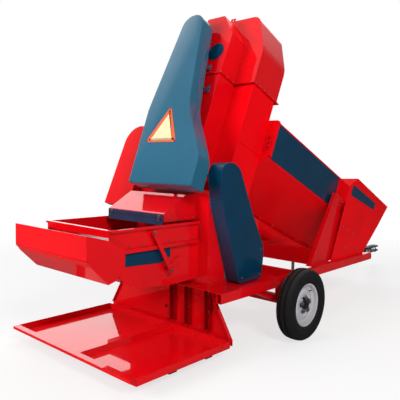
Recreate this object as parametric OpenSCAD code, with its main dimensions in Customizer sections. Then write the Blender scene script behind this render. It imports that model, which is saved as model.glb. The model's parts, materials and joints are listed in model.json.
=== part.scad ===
// Trailed crop thresher: two-wheel chassis, inclined feed hopper with screw, aspiration tower,
// sieve shoe with tailings trough and a hinged bagging platform.
// X points forward to the hitch, Y to the left, Z up. The ground is Z = 0.

/* [Stance] */
// Lean of the hopper and tower, degrees from level
tilt = 23; // [20:0.5:26]
// Plain sheet thickness of casings
sheet = 4; // [3:0.5:6]

/* [Chassis] */
// Height of the rail tops above the ground
rail_top = 595; // [560:5:640]
// Rail section height
rail_h = 90; // [70:5:120]
// Rail section width
rail_w = 60; // [50:5:80]
// Half distance between the rail centre lines
rail_y = 786; // [770:2:830]
// Rear end of the rails, measured from the axle
rail_rear = -1000; // [-1080:10:-960]
// Front end of the rails, measured from the axle
rail_front = 2120; // [2050:10:2200]
// Tube wall
tube_t = 5; // [3:0.5:8]
// Deck plate thickness
deck_t = 5; // [3:0.5:8]

/* [Wheels] */
// Tyre outside diameter
tyre_d = 720; // [680:5:760]
// Tyre width
tyre_w = 180; // [150:5:210]
// Distance between the wheel middle planes
track = 2068; // [2040:4:2140]
// Rim flange diameter
rim_d = 444; // [420:2:460]
// Spindle radius
spindle_r = 22; // [18:0.5:28]
// Wheel studs on each hub
studs = 5; // [4:1:6]
// Stud circle radius
stud_circle = 70; // [64:1:76]

/* [Drawbar] */
// Distance of the hitch hole ahead of the axle
hitch_x = 4130; // [3900:10:4300]
// Hitch hole radius
hitch_r = 16; // [12:0.5:20]
// Height of the middle of the hitch
hitch_z = 320; // [280:5:400]
// Drawbar bar width
bar_w = 64; // [50:2:80]
// Drawbar bar height
bar_h = 40; // [30:2:60]
// Parking leg radius
leg_r = 24; // [18:1:30]
// Parking leg position ahead of the axle
leg_x = 2450; // [2400:10:2600]

/* [Platform] */
// Pan half width
pan_y = 870; // [820:5:900]
// Pan length from hinge side to rear wall
pan_l = 1094; // [1000:2:1200]
// Pan floor height
pan_z = 104; // [90:2:130]
// Pan wall height
pan_h = 62; // [50:2:80]
// Width of the rear lip
lip_w = 55; // [40:1:70]
// Hinge pin radius
pin_r = 10; // [8:0.5:14]

/* [Tower] */
// Tower half width
tower_y = 553; // [540:1:580]
// Rear face of the tower along the lean axis
tower_rear = -1210; // [-1240:2:-1190]
// Front face of the tower along the lean axis
tower_front = -820; // [-840:2:-800]
// Height where the hood starts, across the lean axis
hood_low = 2260; // [2200:5:2320]
// Hood top, across the lean axis
hood_top = 3080; // [3020:5:3120]
// Hood shoulder height, across the lean axis
hood_eave = 2650; // [2600:5:2700]
// Half width of the hood top
hood_top_y = 385; // [340:5:440]
// Depth of the drive leg behind the tower
leg_depth = 252; // [230:2:280]
// Half width of the drive leg
leg_y = 300; // [270:5:330]

/* [Hopper] */
// Half width of the hopper between the outer wall faces
hopper_y = 640; // [600:5:670]
// Bend between upper and lower wall, across the lean axis
bend_w = 1635; // [1600:5:1680]
// Height of the upright walls above the bend
wall_h = 415; // [380:5:450]
// End of the upright walls, along the lean axis
wall_end = 780; // [740:5:820]
// Half width of the front box
box_y = 780; // [770:2:790]
// Rim of the front box above the bend
box_h = 495; // [470:5:520]
// Front end of the screw trough, along the lean axis
hopper_end = 1508; // [1490:2:1530]
// Run of the front wall for each unit of its rise
front_lean = 0.555; // [0.53:0.005:0.58]
// Screw axis height, across the lean axis
screw_w = 1200; // [1190:1:1220]
// Trough outside radius
trough_r = 160; // [145:1:175]
// Screw flight radius
flight_r = 142; // [120:1:148]
// Screw pitch
flight_pitch = 280; // [220:5:340]
// Screw tube radius
shaft_tube_r = 38; // [30:1:45]
// Power take-off stub radius
stub_r = 17.4; // [15:0.1:22]

/* [Cleaning unit] */
// Shoe half width
shoe_y = 448; // [420:2:460]
// Rear end of the shoe, from the axle
shoe_rear = -1952; // [-2000:4:-1920]
// Front end of the shoe, from the axle
shoe_front = -914; // [-930:1:-912]
// Height of the shoe bottom
shoe_low = 1040; // [1030:2:1060]
// Height of the shoe top
shoe_top = 1212; // [1190:2:1240]
// Trough half width
tail_y = 530; // [515:5:560]
// Duct half width
duct_y = 430; // [400:2:440]
// Chute half width
chute_y = 390; // [360:5:410]
// Rocker arm thickness
rocker_t = 10; // [8:1:14]

/* [Guards] */
// Depth of the tall rear guard
tall_depth = 170; // [140:5:190]
// Depth of the side guard
side_depth = 160; // [130:5:180]
// Upper side pulley radius
upper_pulley_r = 105; // [90:1:110]
// Lower side pulley radius
lower_pulley_r = 160; // [140:1:165]
// Head pulley radius
head_pulley_r = 100; // [80:1:105]
// Drive pulley radius
drive_pulley_r = 195; // [160:1:200]
// Belt thickness
belt_t = 12; // [8:1:16]

/* [Hidden] */
$fn = 48;

red = [0.86, 0.03, 0.06];
navy = [0.07, 0.22, 0.35];
black = [0.06, 0.06, 0.07];
steel = [0.72, 0.73, 0.75];
dark = [0.2, 0.2, 0.22];

fit_gap = 0.3;
run_gap = 0.05;
weld = 1;
far = 4000;

axle_z = tyre_d / 2;
axle_sq = 80;
axle_end = track / 2 - 152;
rail_low = rail_top - rail_h;
rail_in = rail_y - rail_w / 2;
rail_out = rail_y + rail_w / 2;
deck_top = rail_top + deck_t;

clevis_back = hitch_x - 350;
clevis_w = 120;
clevis_plate = 20;
clevis_gap = 50;
clevis_end = hitch_x + clevis_w / 2;
bar_rear_z = rail_low + bar_h / 2 + 10;
bar_tip_y = 46;
bar_dx = clevis_back - rail_front;
bar_yaw = atan2(rail_y - bar_tip_y, bar_dx);
bar_len = norm([bar_dx, rail_y - bar_tip_y]);
bar_drop = atan2(bar_rear_z - hitch_z, bar_len);

stand_x = -880;
stand_t = 6;
hinge_x = stand_x - stand_t - 20;
hinge_z = pan_z + 36;
knuckle_r = 18;
knuckle_w = 30;
knuckle_ys = [-620, 620];
pan_front = hinge_x - knuckle_r - 2;
pan_rear = pan_front - pan_l;
lip_rear = pan_rear - lip_w;
rear_end = min(lip_rear, -2218);
x_shift = -(rear_end + clevis_end) / 2;

function level_x(u, w) = u * cos(tilt) + w * sin(tilt);
function level_z(u, w) = w * cos(tilt) - u * sin(tilt);
function top_z(x, w) = (w - x * sin(tilt)) / cos(tilt);

base_rear = -890;
base_front = -100;
base_w = screw_w - trough_r;

leg_rear = tower_rear - leg_depth;
guard_back = leg_rear - 78;
guard_face = guard_back - tall_depth;
main_u = -1360;
cross_x = level_x(main_u, screw_w);
cross_z = level_z(main_u, screw_w);
fan_x = -450;
fan_z = 800;
head_y = 60;
head_w = hood_eave + 70;
shaft_r = 20;

guard_in = tower_y + 6;
guard_out = guard_in + side_depth;
pulley_y = -(guard_in + side_depth / 2 + 10);
pulley_w = 50;

trough_rear = -2218;
rocker_low = [-1301, 808];
rocker_high = [-1503, 1160];
rocker_len = norm(rocker_high - rocker_low);
rocker_lean = atan2(rocker_low[0] - rocker_high[0], rocker_high[1] - rocker_low[1]);
rocker_y = shoe_y + 32;
ecc_r = 45;
ecc_throw = 12;
strap_r = ecc_r + 2 * ecc_throw + 2;
lug_x = shoe_front + 20;
lug_z = shoe_low + 36;

module placed() { translate([x_shift, 0, 0]) children(); }
module tilted() { placed() rotate([0, tilt, 0]) children(); }

// Slab of an X-Z outline, from y0 to y1
module slab_y(y0, y1) { translate([0, y1, 0]) rotate([90, 0, 0]) linear_extrude(y1 - y0) children(); }
// Slab of a Y-Z outline, from x0 to x1
module slab_x(x0, x1) { translate([x0, 0, 0]) rotate([90, 0, 90]) linear_extrude(x1 - x0) children(); }
// Box between two corners
module box(a, b) { translate(a) cube(b - a); }
// Round bar along Y, from y0 to y1
module bar_y(r, y0, y1) { translate([0, y1, 0]) rotate([90, 0, 0]) cylinder(r = r, h = y1 - y0); }
// Round bar along X, from x0 to x1
module bar_x(r, x0, x1) { translate([x0, 0, 0]) rotate([0, 90, 0]) cylinder(r = r, h = x1 - x0); }
// Flat strip outline from a to b, thickness t to the left of the direction
module strip(a, b, t) {
    d = (b - a) / norm(b - a);
    n = [-d[1], d[0]] * t;
    polygon([a, b, b + n, a + n]);
}
// Bent sheet outline along points, thickness t to the left
module bent(points, t) {
    for (i = [0 : len(points) - 2]) strip(points[i], points[i + 1], t);
}
// Both sides of the machine
module both() {
    children();
    mirror([0, 1, 0]) children();
}

// Chassis

module rail() {
    difference() {
        box([rail_rear, rail_in, rail_low], [rail_front, rail_out, rail_top]);
        box([rail_rear - 1, rail_in + tube_t, rail_low + tube_t],
            [rail_front + 1, rail_out - tube_t, rail_top - tube_t]);
    }
    // diagonal strut to the back of the axle
    slab_y(rail_in + 5, rail_out - 5)
        polygon([[-470, rail_low], [-410, rail_low], [-axle_sq / 2, axle_z + 30], [-axle_sq / 2, axle_z - 25]]);
}
module right_rail() { color(red) placed() mirror([0, 1, 0]) rail(); }
module left_rail() { color(red) placed() rail(); }

cross_xs = [stand_x, base_front - 60, 310];
module cross_members() {
    color(red) placed() for (x = cross_xs) difference() {
        box([x, -rail_in, rail_low], [x + 60, rail_in, rail_top]);
        box([x + tube_t, -rail_in - 1, rail_low + tube_t], [x + 60 - tube_t, rail_in + 1, rail_top - tube_t]);
    }
}

module deck_plate() {
    color(red) placed() box([rail_rear, -rail_out, rail_top], [base_front + 70, rail_out, deck_top]);
}

module axle_beam() {
    color(red) placed() {
        box([-axle_sq / 2, -axle_end, axle_z - axle_sq / 2], [axle_sq / 2, axle_end, axle_z + axle_sq / 2]);
        both() {
            box([-60, rail_in, axle_z + axle_sq / 2 - weld], [60, rail_out, rail_low]);
            translate([0, 0, axle_z]) bar_y(spindle_r, axle_end - weld, track / 2 + 36);
        }
    }
}

// Wheel pieces, axis along Y, outboard side at +Y

rim_r = rim_d / 2;
rim_outer = [[rim_r, -65], [rim_r - 16, -58], [rim_r - 19, -28], [rim_r - 52, -16],
             [rim_r - 52, 14], [rim_r - 19, 26], [rim_r - 16, 58], [rim_r, 65]];
rim_t = 7;
disc_z = 22;
disc_t = 8;
hub_bore = spindle_r + run_gap;
pilot_r = 45;

module wheel_turn() { rotate([-90, 0, 0]) rotate_extrude($fn = 96) children(); }
module rim_piece() {
    difference() {
        wheel_turn() {
            polygon(concat(rim_outer, [for (i = [len(rim_outer) - 1 : -1 : 0]) rim_outer[i] - [rim_t, 0]]));
            polygon([[rim_r - 52 - rim_t + 1, -2], [rim_r - 52 - rim_t + 1, 8], [120, disc_z + disc_t + 4],
                     [92, disc_z + disc_t], [pilot_r, disc_z + disc_t], [pilot_r, disc_z], [90, disc_z],
                     [116, disc_z + 4]]);
        }
        for (i = [0 : studs - 1]) rotate([0, i * 360 / studs, 0]) translate([stud_circle, 0, 0]) bar_y(9, 0, 60);
    }
}
module hub_piece() {
    difference() {
        wheel_turn() polygon([[0, 40], [0, 76], [22, 74], [34, 66], [34, 52], [pilot_r - fit_gap, 46],
                              [pilot_r - fit_gap, disc_z], [88, disc_z], [88, disc_z - 14], [56, disc_z - 16],
                              [50, -100], [0, -100]]);
        bar_y(hub_bore, -120, 42);
    }
    for (i = [0 : studs - 1]) rotate([0, i * 360 / studs, 0]) translate([stud_circle, 0, 0]) {
        bar_y(7, disc_z - weld, disc_z + disc_t + 22);
        translate([0, disc_z + disc_t + 15, 0]) rotate([90, 0, 0]) cylinder(r = 14, h = 14, $fn = 6);
    }
}
tyre_r = tyre_d / 2;
half_w = tyre_w / 2;
bead_r = rim_r - 16 + fit_gap;
groove_zs = [-52, -26, 0, 26, 52];
groove_w = 8;
groove_d = 9;
function crown(z) = tyre_r - 14 * pow(abs(z) / (half_w - 16), 2.4);
module tyre_piece() {
    difference() {
        wheel_turn() polygon(concat(
            [[bead_r, -56], [bead_r + 14, -62], [bead_r + 42, -half_w + 6], [tyre_r - 82, -half_w],
             [tyre_r - 40, -half_w + 5], [tyre_r - 24, -half_w + 10]],
            [for (z = [-half_w + 16 : 8 : half_w - 16]) [crown(z), z]],
            [[crown(half_w - 16), half_w - 16], [tyre_r - 24, half_w - 10], [tyre_r - 40, half_w - 5],
             [tyre_r - 82, half_w], [bead_r + 42, half_w - 6], [bead_r + 14, 62], [bead_r, 56], [bead_r, 36],
             [bead_r + 30, half_w - 26], [tyre_r - 60, half_w - 20], [tyre_r - 34, half_w - 40],
             [tyre_r - 34, -half_w + 40], [tyre_r - 60, -half_w + 20], [bead_r + 30, -half_w + 26], [bead_r, -36]]));
        for (z = groove_zs) wheel_turn() translate([tyre_r - groove_d - 4, z - groove_w / 2]) square([40, groove_w]);
    }
}
module wheel_place(side) {
    placed() translate([0, side * track / 2, axle_z]) rotate([0, 0, side > 0 ? 0 : 180]) children();
}
module right_tyre() { color(black) wheel_place(-1) tyre_piece(); }
module right_rim() { color(steel) wheel_place(-1) rim_piece(); }
module right_hub() { color(black) wheel_place(-1) hub_piece(); }
module left_tyre() { color(black) wheel_place(1) tyre_piece(); }
module left_rim() { color(steel) wheel_place(1) rim_piece(); }
module left_hub() { color(black) wheel_place(1) hub_piece(); }

// Drawbar and parking leg

module drawbar_side() {
    intersection() {
        translate([rail_front, rail_y, bar_rear_z]) rotate([0, 0, -bar_yaw]) rotate([0, bar_drop, 0])
            translate([-200, -bar_w / 2, -bar_h / 2]) cube([bar_len + 400, bar_w, bar_h]);
        box([rail_front, -10, 0], [clevis_back, far, far]);
    }
}
module left_drawbar() { color(dark) placed() drawbar_side(); }
module right_drawbar() { color(dark) placed() mirror([0, 1, 0]) drawbar_side(); }

module clevis_outline() {
    translate([clevis_back, -clevis_w / 2]) square([hitch_x - clevis_back, clevis_w]);
    translate([hitch_x, 0]) circle(r = clevis_w / 2);
}
module hitch_clevis() {
    color(dark) placed() difference() {
        union() {
            for (s = [-1, 1]) translate([0, 0, hitch_z + s * (clevis_gap + clevis_plate) / 2 - clevis_plate / 2])
                linear_extrude(clevis_plate) clevis_outline();
            box([clevis_back, -clevis_w / 2, hitch_z - clevis_gap / 2 - weld],
                [clevis_back + 90, clevis_w / 2, hitch_z + clevis_gap / 2 + weld]);
        }
        translate([hitch_x, 0, 0]) cylinder(r = hitch_r, h = far);
    }
}

leg_bar_y = rail_y - (leg_x - rail_front) * tan(bar_yaw);
leg_bar_z = bar_rear_z - (leg_x - rail_front) / cos(bar_yaw) * tan(bar_drop);
sleeve_r = leg_r + 7;
leg_off = bar_w / 2 + 8 + sleeve_r;
leg_px = leg_x - leg_off * sin(bar_yaw);
leg_py = leg_bar_y - leg_off * cos(bar_yaw);
sleeve_low = leg_bar_z - 130;
sleeve_high = leg_bar_z + 150;
foot_r = 75;
foot_t = 10;
module jack_sleeve() {
    color(dark) placed() {
        difference() {
            union() {
                translate([leg_px, leg_py, sleeve_low]) cylinder(r = sleeve_r, h = sleeve_high - sleeve_low);
                translate([leg_x, leg_bar_y, leg_bar_z]) rotate([0, 0, -bar_yaw])
                    box([-60, -bar_w / 2 - 12, -45], [60, -bar_w / 2 - fit_gap, 45]);
            }
            translate([leg_px, leg_py, 0]) cylinder(r = leg_r + run_gap, h = far);
        }
        // clamp screw with its hexagon head
        translate([leg_px - sleeve_r + 3, leg_py, sleeve_high - 40]) {
            bar_x(9, -30, 0);
            translate([-40, 0, 0]) rotate([0, 90, 0]) cylinder(r = 15, h = 11, $fn = 6);
        }
    }
}
module jack_leg() {
    color(steel) placed() translate([leg_px, leg_py, 0]) {
        cylinder(r = foot_r, h = foot_t);
        cylinder(r = leg_r, h = sleeve_high + 30);
    }
}

// Rear stand and bagging platform

stand_top_y = 600;
stand_low_y = 862;
stand_low = 110;
hat_ys = [-578, -318, -115];
hat_low = pan_z + pan_h + 24;
module stand_plate() {
    color(red) placed() {
        difference() {
            slab_x(stand_x - stand_t, stand_x) polygon([[-stand_top_y, rail_top], [stand_top_y, rail_top],
                [stand_low_y, 165], [stand_low_y, stand_low], [-stand_low_y, stand_low], [-stand_low_y, 165]]);
            box([stand_x - 60, -15, 290], [stand_x + 10, 15, 320]);
        }
        both() slab_x(stand_x - 34, stand_x - stand_t + weld)
            polygon([[stand_top_y, rail_top], [stand_low_y - 12, hat_low - 6], [stand_low_y - 18, hat_low - 6],
                     [stand_top_y - 6, rail_top]]);
        // channel stiffeners, open to the rear
        for (y = hat_ys) translate([0, y, 0]) difference() {
            box([stand_x - 40, -34, hat_low], [stand_x - stand_t + weld, 34, rail_top - 24]);
            box([stand_x - 41, -30, hat_low - 1], [stand_x - stand_t - 4, 30, rail_top - 23]);
        }
        // hinge lugs
        for (y = knuckle_ys) translate([hinge_x, y, hinge_z]) difference() {
            union() {
                bar_y(knuckle_r, 0, knuckle_w);
                box([0, 0, -12], [stand_x - stand_t - hinge_x - fit_gap, knuckle_w, 12]);
            }
            bar_y(pin_r + run_gap, -1, knuckle_w + 1);
        }
    }
}
module hinge_pins() {
    color(steel) placed() for (y = knuckle_ys) translate([hinge_x, y, hinge_z]) {
        bar_y(pin_r, -knuckle_w - 8, knuckle_w + fit_gap);
        bar_y(pin_r + 5, knuckle_w + fit_gap, knuckle_w + 7);
    }
}
rib_y = -85;
rib_w = 80;
rib_foot = rib_w / 2 + 14;
module platform() {
    in_x = [pan_rear + sheet + fit_gap, pan_front - sheet - fit_gap];
    in_y = pan_y - sheet - fit_gap;
    color(red) placed() {
        // floor plates, side walls, end walls and rib, seated against each other
        box([in_x[0], -in_y, pan_z], [in_x[1], rib_y - rib_foot - fit_gap, pan_z + sheet]);
        box([in_x[0], rib_y + rib_foot + fit_gap, pan_z], [in_x[1], in_y, pan_z + sheet]);
        both() box([in_x[0], -pan_y, pan_z], [in_x[1], -pan_y + sheet, pan_z + pan_h]);
        box([pan_front - sheet, -pan_y, pan_z], [pan_front, pan_y, pan_z + pan_h]);
        box([pan_rear, -pan_y, pan_z], [pan_rear + sheet, pan_y, pan_z + pan_h]);
        box([lip_rear, -pan_y, pan_z + pan_h - sheet], [pan_rear + weld, pan_y, pan_z + pan_h]);
        box([lip_rear, -pan_y, pan_z + pan_h - 26], [lip_rear + sheet, pan_y, pan_z + pan_h - weld]);
        slab_x(in_x[0], in_x[1])
            polygon([[rib_y - rib_foot, pan_z], [rib_y - rib_foot, pan_z + sheet], [rib_y - rib_w / 2, pan_z + pan_h - 8],
                     [rib_y + rib_w / 2, pan_z + pan_h - 8], [rib_y + rib_foot, pan_z + sheet], [rib_y + rib_foot, pan_z]]);
        for (y = knuckle_ys) translate([hinge_x, y - knuckle_w - 1, hinge_z]) difference() {
            union() {
                bar_y(knuckle_r, 0, knuckle_w);
                box([pan_front - hinge_x + fit_gap, 0, -14], [0, knuckle_w, 14]);
            }
            bar_y(pin_r + run_gap, -1, knuckle_w + 1);
        }
    }
}
foot_xs = [-1485, -1030];
foot_y = 685;
module platform_feet() {
    color(black) placed() both() for (x = foot_xs)
        box([x - 45, foot_y - 30, 0], [x + 45, foot_y + 30, pan_z]);
}

// Base box, tower, hood and drive leg

mouth_low = 1240;
mouth_high = 1392;
module base_outline(t) {
    polygon([[base_rear + t, deck_top + t], [base_front - t, deck_top + t],
             [base_front - t, top_z(base_front, base_w) - t / cos(tilt)],
             [base_rear + t, top_z(base_rear, base_w) - t / cos(tilt)]]);
}
module base_box() {
    color(red) placed() {
        difference() {
            slab_y(-tower_y, tower_y) base_outline(0);
            slab_y(-tower_y + sheet, tower_y - sheet) base_outline(sheet);
            // grain mouth, air outlet and pitman slot in the rear wall
            box([base_rear - 1, -chute_y + 8, mouth_low], [base_rear + 60, chute_y - 8, mouth_high]);
            box([base_rear - 1, -duct_y + 30, 700], [base_rear + 60, duct_y - 30, 960]);
            box([base_rear - 1, -40, 1000], [base_rear + 60, 40, 1130]);
            // throat under the tower
            rotate([0, tilt, 0]) box([tower_rear + 40, -tower_y + 40, base_w - 20], [tower_rear + 260, tower_y - 40, base_w + 20]);
            // fan shaft holes and air inlets
            translate([fan_x, 0, fan_z]) bar_y(shaft_r + 1, -far, far);
            translate([fan_x, 0, fan_z]) bar_y(130, tower_y - 30, tower_y + 30);
        }
        // throat floor
        slab_y(-tower_y + sheet - weld, tower_y - sheet + weld)
            strip([base_rear + sheet - weld, mouth_low - sheet], [-545, mouth_low + 14], sheet);
        // spider that carries the far fan bearing in the air inlet
        translate([fan_x, 0, fan_z]) difference() {
            union() {
                for (a = [30, 150, 270]) rotate([0, a, 0]) box([0, tower_y - sheet, -12], [132, tower_y, 12]);
                bar_y(46, tower_y - 30, tower_y + 4);
            }
            bar_y(shaft_r + run_gap, tower_y - 40, tower_y + 40);
        }
    }
}

flange = 24;
module tower_casing() {
    color(red) tilted() {
        difference() {
            union() {
                box([tower_rear, -tower_y, base_w + fit_gap], [tower_front, tower_y, hood_low]);
                // joint flange at the seam, and top flange under the hood
                box([tower_rear, -tower_y - 5, bend_w], [tower_front, tower_y + 5, bend_w + 10]);
            }
            box([tower_rear + sheet, -tower_y + sheet, base_w - 1], [tower_front - sheet, tower_y - sheet, hood_low + 1]);
            translate([0, 0, screw_w]) bar_x(trough_r - 4, tower_front - 20, tower_front + 20);
            translate([0, 0, screw_w]) bar_x(shaft_tube_r + 4, tower_rear - 10, tower_rear + 20);
        }
    }
}

hood_side = tower_y + flange - 19;
hood_lean = atan2(hood_side - hood_top_y, hood_top - hood_eave);
hood_round = 130;
eave_round = 300;
top_centre = [hood_top_y - hood_round * tan((90 - hood_lean) / 2), hood_top - hood_round];
eave_centre = [hood_side - eave_round, hood_eave - eave_round * tan(hood_lean / 2)];
module hood_outline(t) {
    out = [cos(hood_lean), sin(hood_lean)];
    for (s = [-1, 1]) scale([s, 1]) {
        polygon([[0, hood_low], [hood_side - t, hood_low], eave_centre + [eave_round - t, 0],
                 eave_centre + out * (eave_round - t), top_centre + out * (hood_round - t),
                 top_centre + [0, hood_round - t], [0, hood_top - t]]);
        translate(eave_centre) circle(r = eave_round - t);
        translate(top_centre) circle(r = hood_round - t);
    }
}
module leg_outline(t) {
    polygon([[-leg_y + t, hood_low], [-leg_y + t, hood_eave + 70], [-leg_y + 190, hood_top - 110 - t],
             [leg_y - 190, hood_top - 110 - t], [leg_y - t, hood_eave + 70], [leg_y - t, hood_low]]);
}
module hood() {
    color(red) tilted() {
        difference() {
            union() {
                slab_x(tower_rear - 20, tower_front + 30) hood_outline(0);
                slab_x(leg_rear, tower_rear) leg_outline(0);
                // skirt flanges
                box([tower_rear - 40, -tower_y - flange, hood_low], [tower_front + 55, tower_y + flange, hood_low + 8]);
                box([leg_rear - 20, -leg_y - 20, hood_low], [tower_rear, leg_y + 20, hood_low + 8]);
                // head shaft bearings
                translate([0, head_y, head_w]) {
                    bar_x(46, leg_rear - 22, leg_rear + weld);
                }
                // lifting eye
                translate([tower_rear - 10, -30, hood_top - weld]) difference() {
                    box([0, 0, 0], [12, 60, 46]);
                    translate([0, 30, 24]) bar_x(13, -1, 13);
                }
            }
            slab_x(tower_rear - 20 + sheet, tower_front + 30 - sheet) hood_outline(sheet);
            slab_x(leg_rear + sheet, tower_rear - 20 + sheet + 1) leg_outline(sheet);
            box([tower_rear, -tower_y + sheet, hood_low - 1], [tower_front - sheet, tower_y - sheet, hood_low + 10]);
            box([leg_rear + sheet, -leg_y + sheet, hood_low - 1], [tower_rear + 1, leg_y - sheet, hood_low + 10]);
            // dust outlet on the left side, shaft hole at the rear
            box([tower_rear + 60, tower_y - 60, hood_low + 60], [tower_front - 60, tower_y + 40, hood_eave - 30]);
            translate([0, head_y, head_w]) bar_x(shaft_r + run_gap, leg_rear - 30, leg_rear + 20);
        }
        translate([0, head_y, head_w]) difference() {
            bar_x(46, tower_front + 6, tower_front + 28);
            bar_x(shaft_r + run_gap, tower_front, tower_front + 20);
        }
    }
}
module head_cover() {
    color(navy) tilted() translate([leg_rear, -150, 2530]) {
        bar_x(96, -8, 0);
        bar_x(70, -14, -7);
    }
}

leg_low_w = base_w + fit_gap;
module drive_leg() {
    color(red) tilted() difference() {
        box([leg_rear, -leg_y, leg_low_w], [tower_rear, leg_y, hood_low]);
        box([leg_rear + sheet, -leg_y + sheet, leg_low_w + sheet], [tower_rear - sheet, leg_y - sheet, hood_low + 1]);
        translate([0, 0, screw_w]) bar_x(shaft_r + 6, leg_rear - 10, tower_rear + 10);
        translate([0, 0, screw_w]) bar_x(shaft_tube_r + 4, tower_rear - 10, tower_rear + 10);
        translate([main_u, 0, screw_w]) bar_y(shaft_r + 2, -leg_y - 10, 0);
    }
}
box_half = 86;
module gearbox() {
    color(dark) tilted() difference() {
        union() {
            box([main_u - box_half, -box_half, screw_w - box_half], [main_u + box_half, box_half, screw_w + box_half]);
            translate([main_u, 0, screw_w]) bar_y(58, -box_half - 26, -box_half + weld);
            translate([0, 0, screw_w]) bar_x(58, main_u + box_half - weld, tower_rear - sheet - 1);
            box([main_u - 60, -70, leg_low_w + sheet], [main_u + 60, 70, screw_w - box_half + weld]);
        }
        translate([0, 0, screw_w]) bar_x(shaft_r + run_gap, leg_rear, 0);
        translate([main_u, 0, screw_w]) bar_y(shaft_r + run_gap, -far, -24);
    }
}

duct_low_y = 396;
duct_out_y = 780;
duct_top_w = 1690;
duct_low_w = 790;
duct_front_u = tower_rear - 6;
duct_rear_u = -1500;
duct_step_u = -1420;
module dust_duct_outline(t) {
    r = (duct_out_y - duct_low_y) / 2 - t;
    translate([(duct_out_y + duct_low_y) / 2, duct_top_w - r - t]) circle(r = r);
    translate([duct_low_y + t, duct_low_w + t]) square([2 * r, duct_top_w - r - duct_low_w - 2 * t]);
}
module dust_duct() {
    color(red) tilted() {
        difference() {
            slab_x(duct_rear_u, duct_front_u) dust_duct_outline(0);
            slab_x(duct_rear_u + sheet, duct_front_u - sheet) dust_duct_outline(sheet);
            // step that clears the base box
            box([duct_step_u, 0, 0], [0, far, base_w + 8]);
        }
        box([duct_step_u - sheet, duct_low_y, duct_low_w], [duct_step_u, duct_out_y, base_w + 8 + sheet]);
        box([duct_step_u - sheet, duct_low_y, base_w + 8], [duct_front_u, duct_out_y, base_w + 8 + sheet]);
        // neck to the tower
        box([duct_front_u - 1, duct_low_y + 30, 1400], [tower_rear, tower_y - 20, 1560]);
    }
}

// Feed hopper and screw

rim_w = bend_w + wall_h;
box_w = bend_w + box_h;
wall_low_y = trough_r;
wall_low_w = screw_w + sheet + 1;
wall_slope = (bend_w - wall_low_w) / (hopper_y - wall_low_y);
crease_w = bend_w + wall_slope * (box_y - hopper_y);
box_rear = wall_end + fit_gap;
cut_u = box_rear + 183;
cut_w = box_w - 176;
function front_u(w) = hopper_end + front_lean * (w - screw_w - sheet);
module hopper_wall_outline() {
    bent([[-wall_low_y, wall_low_w], [-hopper_y, bend_w], [-hopper_y, rim_w]], -sheet);
    strip([-wall_low_y - 34, screw_w + sheet], [-wall_low_y + 10, screw_w + sheet], sheet);
    // rolled rim
    translate([-hopper_y - 10, rim_w - 12]) square([12, 12]);
}
module feed_hopper() {
    color(red) tilted() {
        difference() {
            union() {
                both() slab_x(tower_front + 4, wall_end) hopper_wall_outline();
                // rear end plate with bolt flange
                slab_x(tower_front, tower_front + 4) polygon([[-hopper_y, bend_w], [-wall_low_y, screw_w + 6],
                    [wall_low_y, screw_w + 6], [hopper_y, bend_w], [hopper_y, rim_w], [-hopper_y, rim_w]]);
                both() box([tower_front + 4 - weld, -hopper_y - 26, bend_w + 20], [tower_front + 52, -hopper_y + weld, rim_w]);
            }
            translate([0, 0, screw_w]) bar_x(trough_r - 4, tower_front - 20, tower_front + 20);
        }
    }
}
// Flat three-cornered plate, thickness t on the side from which its corners turn left
module corner_plate(a, b, c, t) {
    x = (b - a) / norm(b - a);
    n = cross(b - a, c - a) / norm(cross(b - a, c - a));
    y = cross(n, x);
    multmatrix([[x[0], y[0], n[0], a[0]], [x[1], y[1], n[1], a[1]], [x[2], y[2], n[2], a[2]]])
        linear_extrude(t) polygon([[0, 0], [norm(b - a), 0], [(c - a) * x, (c - a) * y]]);
}
module hopper_front() {
    tip_u = front_u(box_w);
    color(red) tilted() {
        // sloping floors and upright sides, cut off by the front wall and the rear bevel
        intersection() {
            both() slab_x(box_rear, tip_u) {
                bent([[-wall_low_y, wall_low_w], [-box_y, crease_w], [-box_y, box_w]], -sheet);
                strip([-wall_low_y - 34, screw_w + sheet], [-wall_low_y + 10, screw_w + sheet], sheet);
            }
            slab_y(-far, far) polygon([[box_rear, screw_w], [front_u(screw_w), screw_w], [tip_u, box_w],
                                       [cut_u, box_w], [box_rear, cut_w]]);
        }
        // front wall
        difference() {
            intersection() {
                slab_y(-box_y, box_y) strip([front_u(screw_w), screw_w], [tip_u, box_w], sheet);
                slab_x(hopper_end - 100, tip_u) polygon([[-wall_low_y + 1, wall_low_w], [-box_y + 2, crease_w + 1],
                    [-box_y + 2, box_w], [box_y - 2, box_w], [box_y - 2, crease_w + 1], [wall_low_y - 1, wall_low_w]]);
            }
            translate([0, 0, screw_w]) bar_x(bearing_r + fit_gap, 0, far);
        }
        // skirts down to the rails
        intersection() {
            both() slab_x(box_rear, tip_u)
                strip([-box_y + 0.5, crease_w + 6], [-box_y + 25, crease_w - 900], sheet - 1);
            slab_y(-far, far) polygon([[box_rear, 0], [front_u(0), 0], [tip_u, box_w], [box_rear, box_w]]);
            rotate([0, -tilt, 0]) box([-far, -far, rail_top + fit_gap], [far, far, far]);
        }
        // steps beside the upright walls, and the bevels above them
        both() {
            slab_x(box_rear, box_rear + sheet) polygon([[-hopper_y + sheet, bend_w - wall_slope * sheet + 2],
                [-hopper_y + sheet, rim_w], [-box_y + 2, cut_w], [-box_y + 2, crease_w - 2 * wall_slope + 2]]);
            translate([0.3, 0.3, -0.3])
                corner_plate([box_rear, -hopper_y, rim_w], [cut_u, -box_y, box_w], [box_rear, -box_y, cut_w], sheet);
        }
    }
}
module hopper_panels() {
    color(navy) tilted() both() box([tower_front + 80, -hopper_y - 6, bend_w + 12],
                                    [wall_end - 40, -hopper_y, rim_w - 14]);
}

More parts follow.
